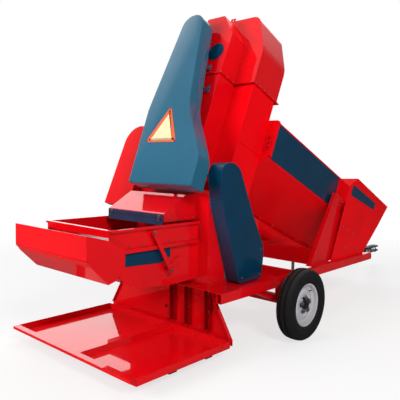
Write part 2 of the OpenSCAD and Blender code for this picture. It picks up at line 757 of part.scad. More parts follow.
bearing_r = 62;
module auger_trough() {
    color(red) tilted() difference() {
        union() {
            difference() {
                union() {
                    translate([0, 0, screw_w]) bar_x(trough_r, tower_front + 4, hopper_end);
                    both() box([tower_front + 4, -wall_low_y - 34, screw_w], [hopper_end, -wall_low_y + 3, screw_w + sheet]);
                }
                translate([0, 0, screw_w]) bar_x(trough_r - sheet, tower_front, hopper_end - sheet);
                box([tower_front, -trough_r + sheet, screw_w], [hopper_end - sheet, trough_r - sheet, far]);
                box([tower_front, -far, screw_w + sheet], [hopper_end + 1, far, far]);
            }
            translate([0, 0, screw_w]) bar_x(bearing_r, hopper_end - sheet, hopper_end + 26);
        }
        translate([0, 0, screw_w]) bar_x(shaft_r + run_gap, 0, far);
    }
}

flight_from = tower_front + 14;
flight_to = hopper_end - 60;
flight_t = 6;
flight_steps = 16;
flight_in = (shaft_tube_r + fit_gap) / cos(180 / flight_steps);
function screw_turns() = (flight_to - flight_from) / flight_pitch;
module flight() {
    steps = ceil(screw_turns() * flight_steps);
    pts = [for (i = [0 : steps]) let (a = 360 * screw_turns() * i / steps, x = flight_from + (flight_to - flight_from) * i / steps)
        for (q = [[flight_in, 0], [flight_r, 0], [flight_r, flight_t], [flight_in, flight_t]])
            [x + q[1], q[0] * cos(a), q[0] * sin(a)]];
    faces = concat(
        [[0, 1, 2], [0, 2, 3]],
        [for (i = [0 : steps - 1], k = [0 : 3]) let (a = 4 * i + k, b = 4 * i + (k + 1) % 4) [a, a + 4, b + 4]],
        [for (i = [0 : steps - 1], k = [0 : 3]) let (a = 4 * i + k, b = 4 * i + (k + 1) % 4) [a, b + 4, b]],
        [[4 * steps + 2, 4 * steps + 1, 4 * steps], [4 * steps + 3, 4 * steps + 2, 4 * steps]]);
    polyhedron(pts, faces);
}
module auger_flight() { color(steel) tilted() translate([0, 0, screw_w]) flight(); }
module main_shaft() {
    color(steel) tilted() translate([0, 0, screw_w]) {
        bar_x(shaft_r, guard_face + 30, hopper_end + 40);
        bar_x(shaft_tube_r, tower_rear + sheet + 2, hopper_end - sheet - 8);
        bar_x(stub_r, hopper_end + 38, hopper_end + 128);
        // threshing bars in the throat
        for (a = [0, 90, 180, 270]) rotate([a, 0, 0]) box([tower_rear + 40, -8, 30], [tower_front - 30, 8, 118]);
    }
}

post_depth = 50;
post_base = 8;
post_foot = 680;
post_top_u = 595;
post_front_u = wall_end - 4;
post_top_w = crease_w + 30;
post_out = box_y - 53;
post_in = post_out - post_depth;
post_low = rail_top + post_base;
post_front_x = level_x(post_front_u, (post_low + post_front_u * sin(tilt)) / cos(tilt));
module post() {
    slab_y(-post_out, -post_in)
        polygon([[post_foot, post_low], [post_front_x, post_low],
                 [level_x(post_front_u, post_top_w), level_z(post_front_u, post_top_w)],
                 [level_x(post_top_u, post_top_w), level_z(post_top_u, post_top_w)]]);
    box([post_foot - 10, -rail_out, rail_top], [post_front_x - 4, -post_in, post_low + weld]);
    // pad against the hopper wall
    rotate([0, tilt, 0]) box([wall_end - 33, -post_in - weld, post_top_w - 90], [wall_end - 5, -hopper_y, post_top_w]);
}
module right_post() { color(red) placed() post(); }
module left_post() { color(red) placed() mirror([0, 1, 0]) post(); }
saddle_x = [760, 815];
saddle_h = 180;
module saddle_beam() {
    color(red) placed() {
        difference() {
            box([saddle_x[0], -post_in, rail_top], [saddle_x[1], post_in, rail_top + saddle_h]);
            box([saddle_x[0] + sheet, -post_in - 1, rail_top - 1], [far, post_in + 1, rail_top + saddle_h - sheet]);
        }
        // wedge under the trough
        slab_y(-60, 60) polygon([[saddle_x[0], rail_top + saddle_h - weld], [saddle_x[1], rail_top + saddle_h - weld],
            [saddle_x[1], top_z(saddle_x[1], base_w)], [saddle_x[0], top_z(saddle_x[0], base_w)]]);
    }
}

// Air duct, shoe, screens, trough and rockers

duct_rear = -1815;
module duct_outline(t) {
    polygon([[base_rear - t, 1004], [base_rear - t, 668 + t], [-1289, 656 + t], [-1628 + t / 3, 700 + t],
             [duct_rear + t, 790 + t], [duct_rear + t, 1004]]);
}
module air_duct() {
    color(red) placed() {
        difference() {
            slab_y(-duct_y, duct_y) duct_outline(0);
            slab_y(-duct_y + sheet, duct_y - sheet) duct_outline(sheet);
            slab_y(-duct_y + sheet, duct_y - sheet) translate([0, 60]) duct_outline(sheet);
            box([base_rear - 30, -duct_y + 30, 700], [base_rear + 1, duct_y - 30, 960]);
            box([-1200, -150, 600], [-1000, 150, 700]);
        }
        // rocker brackets with their pins
        both() {
            slab_y(-duct_y - 14, -duct_y + weld)
                polygon([[-1335, 800], [-1301, 776], [-1140, 868], [-1140, 905], [-1180, 905], [-1290, 838]]);
            translate([rocker_low[0], 0, rocker_low[1]]) bar_y(pin_r, -rocker_y - rocker_t - 6, -duct_y + weld);
        }
    }
}
module duct_panels() {
    color(navy) placed() both() slab_y(-duct_y - 4, -duct_y)
        polygon([[-1773, 1000], [-1260, 1000], [-1260, 922], [-1375, 878], [-1773, 895]]);
}

shoe_t = 3;
module sieve_shoe() {
    color(red) placed() {
        both() {
            box([shoe_rear, -shoe_y, shoe_low], [shoe_front, -shoe_y + shoe_t, shoe_top]);
            box([shoe_rear, -shoe_y - 25, shoe_top - 4], [shoe_front, -shoe_y + weld, shoe_top]);
            box([shoe_rear, -shoe_y - 25, shoe_top - 20], [shoe_front, -shoe_y - 22, shoe_top - weld]);
            box([shoe_rear + 130, -shoe_y - 20, shoe_low], [shoe_front, -shoe_y + weld, shoe_low + 4]);
            translate([rocker_high[0], 0, rocker_high[1]]) bar_y(pin_r, -rocker_y - rocker_t - 6, -shoe_y + weld);
        }
        // rear cross rail and front wall
        box([shoe_rear, -shoe_y, shoe_top - 60], [shoe_rear + 30, shoe_y, shoe_top]);
        box([shoe_front - shoe_t, -shoe_y, shoe_low], [shoe_front, shoe_y, shoe_low + 90]);
        // screen ledges
        both() box([shoe_rear + 40, -shoe_y + shoe_t - weld, shoe_low + 20], [shoe_front - shoe_t + weld, -shoe_y + 22, shoe_low + 24]);
        // pitman lug
        difference() {
            box([shoe_front - weld, -30, lug_z - 18], [lug_x + 16, -12, lug_z + 18]);
            translate([lug_x, 0, lug_z]) bar_y(8 + run_gap, -31, -11);
        }
    }
}
slot_l = 60;
slot_w = 12;
module sieve_screens() {
    color(steel) placed() difference() {
        box([shoe_rear + 34, -shoe_y + 6, shoe_low + 24], [shoe_front - 8, shoe_y - 6, shoe_low + 27]);
        for (x = [shoe_rear + 80 : 90 : shoe_front - 90], y = [-shoe_y + 50 : 60 : shoe_y - 50])
            box([x, y, shoe_low], [x + slot_l, y + slot_w, shoe_low + 40]);
    }
}

tail_line = [[-2218, 1203], [-2218, 1020], [-2178, 962], [-2018, 805], [-1948, 822], [-1857, 905], [-1851, shoe_low]];
module tailings_trough() {
    color(red) placed() {
        slab_y(-tail_y, tail_y) bent(tail_line, sheet);
        both() slab_y(-tail_y, -tail_y + sheet)
            polygon(concat(tail_line, [[-1851, 1056], [-2030, 1154], [-2214, 1203]]));
    }
}

module rocker() {
    translate([rocker_low[0], 0, rocker_low[1]]) rotate([0, -rocker_lean, 0]) difference() {
        slab_y(-rocker_y - rocker_t, -rocker_y) {
            translate([-19, 0]) square([38, rocker_len]);
            circle(r = 26);
            translate([0, rocker_len]) circle(r = 24);
        }
        bar_y(pin_r + run_gap, -far, far);
        translate([0, 0, rocker_len]) bar_y(pin_r + 0.6, -far, far);
    }
}
module right_rocker() { color(red) placed() rocker(); }
module left_rocker() { color(red) placed() mirror([0, 1, 0]) rocker(); }

module pitman() {
    dx = lug_x - fan_x;
    dz = lug_z - fan_z;
    rod = norm([dx, dz]);
    color(dark) placed() translate([fan_x, 0, fan_z]) rotate([0, -atan2(dz, dx), 0]) difference() {
        union() {
            bar_y(strap_r + 14, -10, 10);
            box([strap_r, -10, -14], [rod, 10, 14]);
            translate([rod, 0, 0]) bar_y(18, -10, 10);
            translate([rod, 0, 0]) bar_y(8, -34, 0);
        }
        bar_y(strap_r, -11, 11);
    }
}

chute_rear = -1305;
chute_eave = 1297;
chute_knee = [-1030, 1458];
chute_top = 1462;
module discharge_chute() {
    color(red) placed() {
        both() slab_y(-chute_y, -chute_y + sheet) polygon([[base_rear, mouth_low - 18], [chute_rear, mouth_low - 18],
            [chute_rear, chute_eave], chute_knee, [base_rear, chute_top]]);
        slab_y(-chute_y, chute_y) strip([chute_rear + weld, mouth_low - 14], [base_rear, mouth_low - 4], sheet);
        // sloping cover with its turned-down lip, and the wall plate above the mouth
        slab_y(-chute_y, chute_y) bent([[base_rear - weld, chute_top], chute_knee, [chute_rear, chute_eave]], sheet);
        box([chute_rear, -chute_y, chute_eave - 28], [chute_rear + sheet, chute_y, chute_eave - weld]);
        box([base_rear - sheet, -chute_y, mouth_high], [base_rear, chute_y, chute_top]);
    }
}
flap_t = 8;
flap_h = 100;
module rubber_flap() {
    color(black) placed() box([chute_rear - flap_t, -chute_y, chute_eave - 3 - flap_h], [chute_rear, chute_y, chute_eave - 3]);
}

// Belt drives and guards

head_guard_r = 125;
module tall_outline(t) {
    polygon([[235 - t, screw_w - 234 + t], [296 - t, screw_w + 560], [head_y + head_guard_r - t, head_w],
             [head_y - head_guard_r + t, head_w], [-176 + t, head_w - 494], [-268 + t, screw_w + 568],
             [-506 + t, screw_w + 203], [-600 + t, screw_w + 38], [-610 + t, screw_w - 234 + t]]);
    translate([head_y, head_w]) circle(r = head_guard_r - t);
}
module tall_guard() {
    color(navy) tilted() {
        difference() {
            slab_x(guard_face, guard_back) tall_outline(0);
            slab_x(guard_face + sheet, guard_back + 1) tall_outline(sheet);
        }
        // stand-off brackets to the drive leg
        for (q = [[-200, 2080], [-125, 2330], [120, 2080], [120, 1500], [-230, 1500]])
            box([guard_face + sheet - weld, q[0] - 20, q[1] - 20], [leg_rear, q[0] + 20, q[1] - 14]);
    }
}
module pulley(r, w, bore, grooves) {
    difference() {
        cylinder(r = r, h = w, $fn = 96);
        translate([0, 0, -1]) cylinder(r = bore, h = w + 2);
        for (i = [0 : grooves - 1]) translate([0, 0, w * (i + 0.5) / grooves]) rotate_extrude($fn = 96)
            polygon([[r - belt_t, -w / grooves * 0.22], [r + 1, -w / grooves * 0.36],
                     [r + 1, w / grooves * 0.36], [r - belt_t, w / grooves * 0.22]]);
        translate([0, 0, w * 0.7]) difference() {
            cylinder(r = r - 30, h = w);
            cylinder(r = bore + 22, h = w);
        }
    }
}
belt_u = guard_face + 60;
module drive_pulley() {
    color(dark) tilted() translate([belt_u, 0, screw_w]) rotate([0, 90, 0]) pulley(drive_pulley_r, pulley_w, shaft_r + run_gap / 5, 2);
}
module head_pulley() {
    color(dark) tilted() translate([belt_u, head_y, head_w]) rotate([0, 90, 0]) pulley(head_pulley_r, pulley_w, shaft_r + run_gap / 5, 2);
}
// Outline of a belt round two circles on a line of length c
belt_steps = 40;
module belt_ring(r1, r2, c) {
    a = acos((r1 - r2) / c);
    big = [for (i = [0 : belt_steps]) let (t = a + (360 - 2 * a) * i / belt_steps) r1 * [cos(t), sin(t)]];
    small = [for (i = [0 : belt_steps]) let (t = -a + 2 * a * i / belt_steps) [c, 0] + r2 * [cos(t), sin(t)]];
    polygon(concat(big, small));
}
module belt(r1, r2, c, w) {
    linear_extrude(w) difference() {
        belt_ring(r1 + belt_t - 2, r2 + belt_t - 2, c);
        belt_ring(r1 + fit_gap, r2 + fit_gap, c);
    }
}
module head_belt() {
    d = [head_y, head_w - screw_w];
    color(black) tilted() translate([belt_u + 4, 0, screw_w]) rotate([90, 0, 90])
        rotate([0, 0, atan2(d[1], d[0])]) belt(drive_pulley_r, head_pulley_r, norm(d), pulley_w - 8);
}
module head_shaft() {
    color(steel) tilted() translate([0, head_y, head_w]) {
        bar_x(shaft_r, belt_u - 12, tower_front + 19);
    }
}
fan_blades = 6;
module head_fan() {
    color(steel) tilted() translate([0, head_y, head_w]) difference() {
        union() {
            bar_x(52, tower_rear + 40, tower_front - 140);
            for (i = [0 : fan_blades - 1]) rotate([i * 360 / fan_blades, 0, 0])
                box([tower_rear + 44, -3, 40], [tower_front - 144, 3, 235]);
        }
        bar_x(shaft_r + run_gap / 5, tower_rear, tower_front);
    }
}

// Side guard outline in X-Z
module side_outline(t) {
    translate([cross_x, cross_z]) circle(r = 128 - t);
    polygon([[cross_x - 128 + t, cross_z], [cross_x - 96 + t, cross_z - 260], [-614 + t, deck_top + 8 + t], [-262 - t, deck_top + 8 + t],
             [-230 - t, 800], [-230 - t, 925], [-437 - t, 1300], [cross_x + 126 - t, cross_z + 20]]);
}
module small_guard() {
    color(navy) placed() difference() {
        slab_y(-guard_out, -guard_in - 6) side_outline(0);
        slab_y(-guard_out + sheet, -guard_in) side_outline(sheet);
    }
}
module guard_backplate() {
    color(navy) placed() difference() {
        union() {
            slab_y(-guard_in - 6, -guard_in) side_outline(0);
            // seats on the tower and base sides
            box([-520, -guard_in, 900], [-430, -tower_y, 960]);
            box([-640, -guard_in, 640], [-560, -tower_y, 700]);
            // flange bearings
            translate([cross_x, 0, cross_z]) bar_y(52, -guard_in, -guard_in + 26);
            translate([fan_x, 0, fan_z]) bar_y(50, -guard_in - 24, -guard_in);
        }
        translate([cross_x, 0, cross_z]) bar_y(shaft_r + run_gap, -far, far);
        translate([fan_x, 0, fan_z]) bar_y(shaft_r + run_gap, -far, far);
    }
}
module cross_shaft() {
    color(steel) placed() translate([cross_x, 0, cross_z]) bar_y(shaft_r, -guard_out + 30, -26);
}
module upper_pulley() {
    color(dark) placed() translate([cross_x, pulley_y + pulley_w / 2, cross_z]) rotate([90, 0, 0]) pulley(upper_pulley_r, pulley_w, shaft_r + run_gap / 5, 2);
}
module fan_shaft() {
    color(steel) placed() translate([fan_x, 0, fan_z]) {
        bar_y(shaft_r, -guard_out + 30, tower_y + 14);
        translate([ecc_throw, 0, 0]) bar_y(ecc_r, -9, 9);
    }
}
module fan_rotor() {
    color(steel) placed() translate([fan_x, 0, fan_z]) difference() {
        for (s = [-1, 1]) union() {
            translate([0, s * 240, 0]) {
                bar_y(38, -150, 150);
                for (i = [0 : 4]) rotate([0, i * 72, 0]) box([-3, -148, 30], [3, 148, 180]);
            }
        }
        bar_y(shaft_r + run_gap / 5, -far, far);
    }
}
module lower_pulley() {
    color(dark) placed() translate([fan_x, pulley_y + pulley_w / 2, fan_z]) rotate([90, 0, 0]) pulley(lower_pulley_r, pulley_w, shaft_r + run_gap / 5, 2);
}
module side_belt() {
    d = [cross_x - fan_x, cross_z - fan_z];
    color(black) placed() translate([fan_x, pulley_y + pulley_w / 2 - 4, fan_z]) rotate([90, 0, 0])
        rotate([0, 0, atan2(d[1], d[0])]) belt(lower_pulley_r, upper_pulley_r, norm(d), pulley_w - 8);
}

right_rail();
left_rail();
cross_members();
deck_plate();
axle_beam();
right_tyre();
right_rim();
right_hub();
left_tyre();
left_rim();
left_hub();
right_drawbar();
left_drawbar();
hitch_clevis();
jack_sleeve();
jack_leg();
stand_plate();
platform();
platform_feet();
hinge_pins();
base_box();
tower_casing();
hood();
drive_leg();
head_cover();
dust_duct();
feed_hopper();
hopper_front();
hopper_panels();
auger_trough();
main_shaft();
auger_flight();
right_post();
left_post();
saddle_beam();
air_duct();
duct_panels();
sieve_shoe();
sieve_screens();
tailings_trough();
right_rocker();
left_rocker();
pitman();
discharge_chute();
rubber_flap();
tall_guard();
drive_pulley();
head_pulley();
head_belt();
head_shaft();
head_fan();
gearbox();
small_guard();
guard_backplate();
cross_shaft();
upper_pulley();
side_belt();
fan_shaft();
fan_rotor();
lower_pulley();
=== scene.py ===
import bpy, bmesh, math, json
from mathutils import Matrix, Vector


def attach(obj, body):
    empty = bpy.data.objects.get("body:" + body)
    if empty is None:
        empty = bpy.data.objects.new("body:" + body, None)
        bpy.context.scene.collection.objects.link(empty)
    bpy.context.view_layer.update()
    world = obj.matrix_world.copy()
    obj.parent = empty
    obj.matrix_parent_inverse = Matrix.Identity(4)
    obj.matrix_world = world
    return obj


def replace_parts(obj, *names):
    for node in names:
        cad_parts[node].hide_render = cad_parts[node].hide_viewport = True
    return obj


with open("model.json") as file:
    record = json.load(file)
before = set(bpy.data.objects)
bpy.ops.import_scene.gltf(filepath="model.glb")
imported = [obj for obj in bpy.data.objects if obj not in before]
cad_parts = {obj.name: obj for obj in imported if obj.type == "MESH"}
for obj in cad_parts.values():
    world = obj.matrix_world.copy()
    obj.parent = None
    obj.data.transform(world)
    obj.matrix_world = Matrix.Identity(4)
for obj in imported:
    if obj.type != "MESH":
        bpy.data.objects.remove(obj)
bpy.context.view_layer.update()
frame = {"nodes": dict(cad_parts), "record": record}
scene = bpy.context.scene
nodes = frame["nodes"]
print("frame loaded", len(nodes), "nodes")

tilt = math.radians(23)  # lean of tower and hopper
shiftX = -0.986  # axle to row origin
mirrored = (-1, 1)  # right and left side
leanMatrix = Matrix.Translation((shiftX, 0, 0)) @ Matrix.Rotation(tilt, 4, "Y")
levelMatrix = Matrix.Translation((shiftX, 0, 0))


class Sock:
    def __init__(self, tree, socket):
        self.tree, self.socket = tree, socket

    def math(self, op, a, b):
        n = self.tree.nodes.new("ShaderNodeMath")
        n.operation = op
        for i, v in enumerate((a, b)):
            if isinstance(v, Sock):
                self.tree.links.new(v.socket, n.inputs[i])
            else:
                n.inputs[i].default_value = v
        return Sock(self.tree, n.outputs[0])

    def __add__(self, o): return self.math("ADD", self, o)
    def __radd__(self, o): return self.math("ADD", o, self)
    def __sub__(self, o): return self.math("SUBTRACT", self, o)
    def __rsub__(self, o): return self.math("SUBTRACT", o, self)
    def __mul__(self, o): return self.math("MULTIPLY", self, o)
    def __rmul__(self, o): return self.math("MULTIPLY", o, self)
    def __truediv__(self, o): return self.math("DIVIDE", self, o)
    def __rtruediv__(self, o): return self.math("DIVIDE", o, self)
    def __pow__(self, o): return self.math("POWER", self, o)
    def __rpow__(self, o): return self.math("POWER", o, self)
    def clamp(self): return self.math("MINIMUM", self.math("MAXIMUM", self, 0.0), 1.0)
    def over(self, level, soft): return ((self - level) / soft).clamp()

    def node(self, kind, out=0, settings=None, **sockets):
        n = self.tree.nodes.new(kind)
        for k, v in (settings or {}).items():
            setattr(n, k, v)
        for k, v in sockets.items():
            key = int(k[1:]) if k[0] == "i" and k[1:].isdigit() else k.replace("_", " ")
            if isinstance(v, Sock):
                self.tree.links.new(v.socket, n.inputs[key])
            else:
                n.inputs[key].default_value = v
        return Sock(self.tree, n.outputs[out])


def newMaterial(name, **fixed):
    mat = bpy.data.materials.new(name)
    mat.use_nodes = True
    tree = mat.node_tree
    bsdf = tree.nodes["Principled BSDF"]
    for k, v in fixed.items():
        bsdf.inputs[k.replace("_", " ")].default_value = v
    coord = tree.nodes.new("ShaderNodeTexCoord")
    return mat, tree, bsdf, Sock(tree, coord.outputs["Object"])


def mixColour(f, a, b):
    return f.node("ShaderNodeMix", 2, {"data_type": "RGBA"}, i0=f, i6=a, i7=b)


def noise(p, scale, detail=3.0, rough=0.5):
    return p.node("ShaderNodeTexNoise", 0, None, Vector=p, Scale=scale, Detail=detail, Roughness=rough)


def bump(p, height, strength, distance):
    soft = p.node("ShaderNodeBevel", 0, {"samples": 4}, Radius=0.003)  # rolled sheet edges
    return p.node("ShaderNodeBump", 0, None, Height=height, Strength=strength, Distance=distance, Normal=soft)


def link(tree, sock, bsdf, name):
    tree.links.new(sock.socket, bsdf.inputs[name])


def axisOf(p, i):
    return p.node("ShaderNodeSeparateXYZ", i, None, Vector=p)


paintLook = {"dustHeight": 0.5, "splash": 0.5, "settle": 0.1, "scuff": 0.18, "grain": 0.08, "dirtRough": 0.45,
             "peel": 0.03, "bump": 0.25, "bumpHigh": 0.004}


def paint(name, deep, light, dust, rough, coat, dustAmount=0.35, blur=0.03):
    g = paintLook
    mat, tree, bsdf, p = newMaterial(name, Coat_Weight=coat, Coat_Roughness=blur, Coat_IOR=1.6,
                                     Specular_IOR_Level=0.02)
    cloud = noise(p, 1.7, 2.0)
    grain = noise(p, 38.0, 3.0)
    up = axisOf(p.node("ShaderNodeNewGeometry", 1), 2)  # normal
    height = axisOf(p, 2)
    low = (1.0 - (height / g["dustHeight"])).clamp() * noise(p, 14.0, 6.0, 0.6).over(0.55, 0.4) * g["splash"]
    settle = up.over(0.7, 0.25) * noise(p, 6.0, 5.0).over(0.55, 0.4) * g["settle"]
    base = mixColour(cloud.over(0.3, 0.4), deep, light)
    scuff = noise(p, 90.0, 6.0, 0.7).over(0.70, 0.06) * noise(p, 3.0, 3.0).over(0.5, 0.2)
    dirty = ((low * dustAmount) + (settle * dustAmount) + scuff * g["scuff"]).clamp()
    link(tree, mixColour(dirty, base, dust), bsdf, "Base Color")
    link(tree, (rough + (grain - 0.5) * g["grain"] + dirty * g["dirtRough"]).clamp(), bsdf, "Roughness")
    peel = noise(p, 300.0, 2.0)
    wave = noise(p, 2.6, 1.0)
    link(tree, bump(p, peel * g["peel"] + wave, g["bump"], g["bumpHigh"]), bsdf, "Normal")
    return mat


redDust = (0.40, 0.10, 0.06, 1)
redPaint = paint("redPaint", (0.66, 0.0015, 0.0055, 1), (0.76, 0.0022, 0.0060, 1), redDust, 0.32, 0.85)
softRed = paint("softRed", (0.78, 0.0015, 0.0055, 1), (0.88, 0.0022, 0.0060, 1), redDust,
                0.4, 0.12, 0.35, 0.16)
# darker copy of the red paint: painted shade for the insides of the stand channels
shadedRed = paint("shadedRed", (0.28, 0.0008, 0.0026, 1), (0.34, 0.0010, 0.0030, 1), (0.20, 0.15, 0.11, 1),
                0.3, 0.5)
navyPaint = paint("navyPaint", (0.013, 0.098, 0.168, 1), (0.018, 0.120, 0.204, 1), (0.16, 0.17, 0.17, 1),
                  0.32, 0.85)
panelPaint = paint("panelPaint", (0.0007, 0.029, 0.068, 1), (0.0012, 0.039, 0.088, 1), (0.10, 0.11, 0.12, 1),
                   0.34, 0.7)
silverPaint = paint("silverPaint", (0.46, 0.45, 0.48, 1), (0.54, 0.53, 0.56, 1), (0.20, 0.17, 0.15, 1),
                    0.30, 0.9, 0.8)
blackPaint = paint("blackPaint", (0.012, 0.012, 0.013, 1), (0.022, 0.022, 0.023, 1), (0.14, 0.12, 0.10, 1),
                   0.36, 0.2, 0.4)
darkPaint = paint("darkPaint", (0.035, 0.036, 0.040, 1), (0.055, 0.056, 0.060, 1), (0.16, 0.13, 0.11, 1),
                  0.42, 0.1, 0.5)


def metal(name, a, b, rough, stretch):
    mat, tree, bsdf, p = newMaterial(name, Metallic=0.95)
    lay = p.node("ShaderNodeMapping", 0, None, Vector=p, Scale=stretch)
    brush = noise(lay, 60.0, 4.0, 0.6)
    spots = noise(p, 14.0, 5.0, 0.65)
    link(tree, mixColour(spots.over(0.45, 0.3), a, b), bsdf, "Base Color")
    link(tree, (rough + (brush - 0.5) * 0.25 + spots.over(0.6, 0.2) * 0.12).clamp(), bsdf, "Roughness")
    link(tree, bump(p, brush, 0.15, 0.001), bsdf, "Normal")
    return mat


steel = metal("steel", (0.52, 0.52, 0.53, 1), (0.36, 0.35, 0.34, 1), 0.34, (1, 1, 12))
zinc = metal("zinc", (0.40, 0.40, 0.42, 1), (0.28, 0.28, 0.29, 1), 0.36, (1, 1, 1))
castIron = metal("castIron", (0.07, 0.07, 0.075, 1), (0.045, 0.045, 0.05, 1), 0.55, (1, 1, 1))


def rubberLike(name, a, b, dust, rough, dustLevel):
    mat, tree, bsdf, p = newMaterial(name, Specular_IOR_Level=0.35)
    cloud = noise(p, 11.0, 5.0, 0.6)
    fine = noise(p, 220.0, 3.0)
    dusty = noise(p, 5.0, 6.0, 0.65).over(dustLevel, 0.28)
    base = mixColour(cloud, a, b)
    link(tree, mixColour(dusty * 0.5, base, dust), bsdf, "Base Color")
    link(tree, (rough + (fine - 0.5) * 0.15 + dusty * 0.15).clamp(), bsdf, "Roughness")
    link(tree, bump(p, fine * 0.5 + cloud, 0.25, 0.002), bsdf, "Normal")
    return mat


tyreRubber = rubberLike("tyreRubber", (0.006, 0.006, 0.007, 1), (0.012, 0.012, 0.013, 1),
                        (0.035, 0.033, 0.031, 1), 0.58, 0.60)
flapRubber = rubberLike("flapRubber", (0.014, 0.024, 0.060, 1), (0.022, 0.034, 0.078, 1),
                        (0.09, 0.09, 0.10, 1), 0.55, 0.6)
beltRubber = rubberLike("beltRubber", (0.012, 0.012, 0.012, 1), (0.022, 0.022, 0.022, 1),
                        (0.06, 0.055, 0.05, 1), 0.6, 0.55)


def reflector(name, a, b):
    mat, tree, bsdf, p = newMaterial(name, Coat_Weight=0.3, Coat_Roughness=0.1)
    cell = p.node("ShaderNodeTexVoronoi", 0, None, Vector=p, Scale=420.0)
    cloud = noise(p, 12.0, 3.0)
    link(tree, mixColour(cloud, a, b), bsdf, "Base Color")
    link(tree, (0.32 + cell * 0.2).clamp(), bsdf, "Roughness")
    link(tree, bump(p, cell, 0.15, 0.0008), bsdf, "Normal")
    return mat


cream = reflector("cream", (0.90, 0.66, 0.36, 1), (0.94, 0.74, 0.46, 1))
signOrange = reflector("signOrange", (0.72, 0.10, 0.025, 1), (0.80, 0.13, 0.035, 1))

slotMaterial = {"red_paint": redPaint, "navy_paint": navyPaint, "silver_paint": silverPaint,
                "black_paint": blackPaint, "dark_paint": darkPaint, "steel": steel,
                "cast_iron": castIron, "tyre": tyreRubber, "rubber": beltRubber}
nodeSlot = {s["node"]: s["material_slot"] for s in frame["record"]["subparts"]}
for name, obj in nodes.items():
    obj.data.materials.clear()
    obj.data.materials.append(slotMaterial[nodeSlot[name]])
for name in ("hopper_panels", "duct_panels", "head_cover"):
    nodes[name].data.materials[0] = panelPaint  # deeper blue sheets
for name in ("feed_hopper", "hopper_front", "auger_trough", "tower_casing"):
    nodes[name].data.materials[0] = softRed  # duller wide sheets
print("materials done")


def finishPiece(name, bm, mat, body, smooth=35, matrix=None):
    if matrix is not None:
        bmesh.ops.transform(bm, matrix=matrix, verts=bm.verts)
    bmesh.ops.recalc_face_normals(bm, faces=bm.faces)
    mesh = bpy.data.meshes.new(name)
    bm.to_mesh(mesh)
    bm.free()
    mesh.materials.append(mat)
    mesh.shade_smooth()
    mesh.set_sharp_from_angle(angle=math.radians(smooth))
    obj = bpy.data.objects.new(name, mesh)
    scene.collection.objects.link(obj)
    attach(obj, body)
    return obj


def outlineFace(bm, points, place):
    return bm.faces.new([bm.verts.new(place(*q)) for q in points])


def pushFaces(bm, faces, depth):
    out = bmesh.ops.extrude_face_region(bm, geom=faces)["geom"]
    moved = [v for v in out if isinstance(v, bmesh.types.BMVert)]
    bmesh.ops.translate(bm, vec=depth, verts=moved)
    return moved


def softEdges(bm, edges, width):
    bmesh.ops.bevel(bm, geom=edges, affect="EDGES", offset=width, segments=2, profile=0.5, material=-1)


def roundCorners(bm, face, radii):
    for vert, radius in zip(list(face.verts), radii):
        bmesh.ops.bevel(bm, geom=[vert], affect="VERTICES", offset=radius, segments=6, profile=0.5,
                        material=-1, clamp_overlap=True)


def addBox(bm, low, high):
    size = [h - l for l, h in zip(low, high)]
    mid = [(h + l) / 2 for l, h in zip(low, high)]
    made = bmesh.ops.create_cube(bm, size=1)["verts"]
    bmesh.ops.transform(bm, matrix=Matrix.Translation(mid) @ Matrix.Diagonal((*size, 1)), verts=made)


bolt = {"washerR": 0.85, "headR": 0.58, "washer": 0.003, "chamfer": 0.0012}  # radii as shares of the width


def addBolt(bm, place, normal, across=0.012, high=0.007):
    spot = Matrix.Translation(place) @ Vector(normal).to_track_quat("Z", "Y").to_matrix().to_4x4()
    flat, radius, headR = bolt["washer"], across * bolt["washerR"], across * bolt["headR"]
    washer = bmesh.ops.create_cone(bm, cap_ends=True, segments=20, radius1=radius, radius2=radius, depth=flat)
    bmesh.ops.transform(bm, matrix=spot @ Matrix.Translation((0, 0, flat / 2)), verts=washer["verts"])
    head = bmesh.ops.create_cone(bm, cap_ends=True, segments=6, radius1=headR, radius2=headR, depth=high)
    tops = [e for e in bm.edges if all(v in head["verts"] and v.co.z > 0 for v in e.verts)]
    bmesh.ops.transform(bm, matrix=spot @ Matrix.Translation((0, 0, flat + high / 2)), verts=head["verts"])
    softEdges(bm, tops, bolt["chamfer"])


def boltRow(bm, start, end, count, normal, across=0.012):
    a, b = Vector(start), Vector(end)
    for i in range(count):
        addBolt(bm, a.lerp(b, i / max(1, count - 1)), normal, across)


def holedPlate(bm, outline, holes, place, turn, depth, sides=20):
    blank = outlineFace(bm, outline, place)
    edges = list(blank.edges)
    bmesh.ops.delete(bm, geom=[blank], context="FACES_ONLY")
    for a, b, radius in holes:
        spot = Matrix.Translation(place(a, b)) @ turn
        ring = bmesh.ops.create_circle(bm, cap_ends=False, segments=sides, radius=radius, matrix=spot)
        edges += list({e for v in ring["verts"] for e in v.link_edges})
    filled = bmesh.ops.triangle_fill(bm, use_beauty=True, edges=edges)["geom"]
    pushFaces(bm, [f for f in filled if isinstance(f, bmesh.types.BMFace)], depth)


def pressedShell(bm, points, radii, place, depth, edge, wall):
    roundCorners(bm, outlineFace(bm, points, place), radii)
    moved = pushFaces(bm, bm.faces[:], depth)
    front = [f for f in bm.faces if all(v in moved for v in f.verts)][0]
    backFaces = [f for f in bm.faces if not any(v in moved for v in f.verts)]
    bmesh.ops.delete(bm, geom=backFaces, context="FACES_ONLY")
    bmesh.ops.bevel(bm, geom=list(front.edges), affect="EDGES", offset=edge, segments=4, profile=0.5,
                    material=-1, clamp_overlap=True)
    bmesh.ops.recalc_face_normals(bm, faces=bm.faces)
    bmesh.ops.solidify(bm, geom=bm.faces[:], thickness=wall)


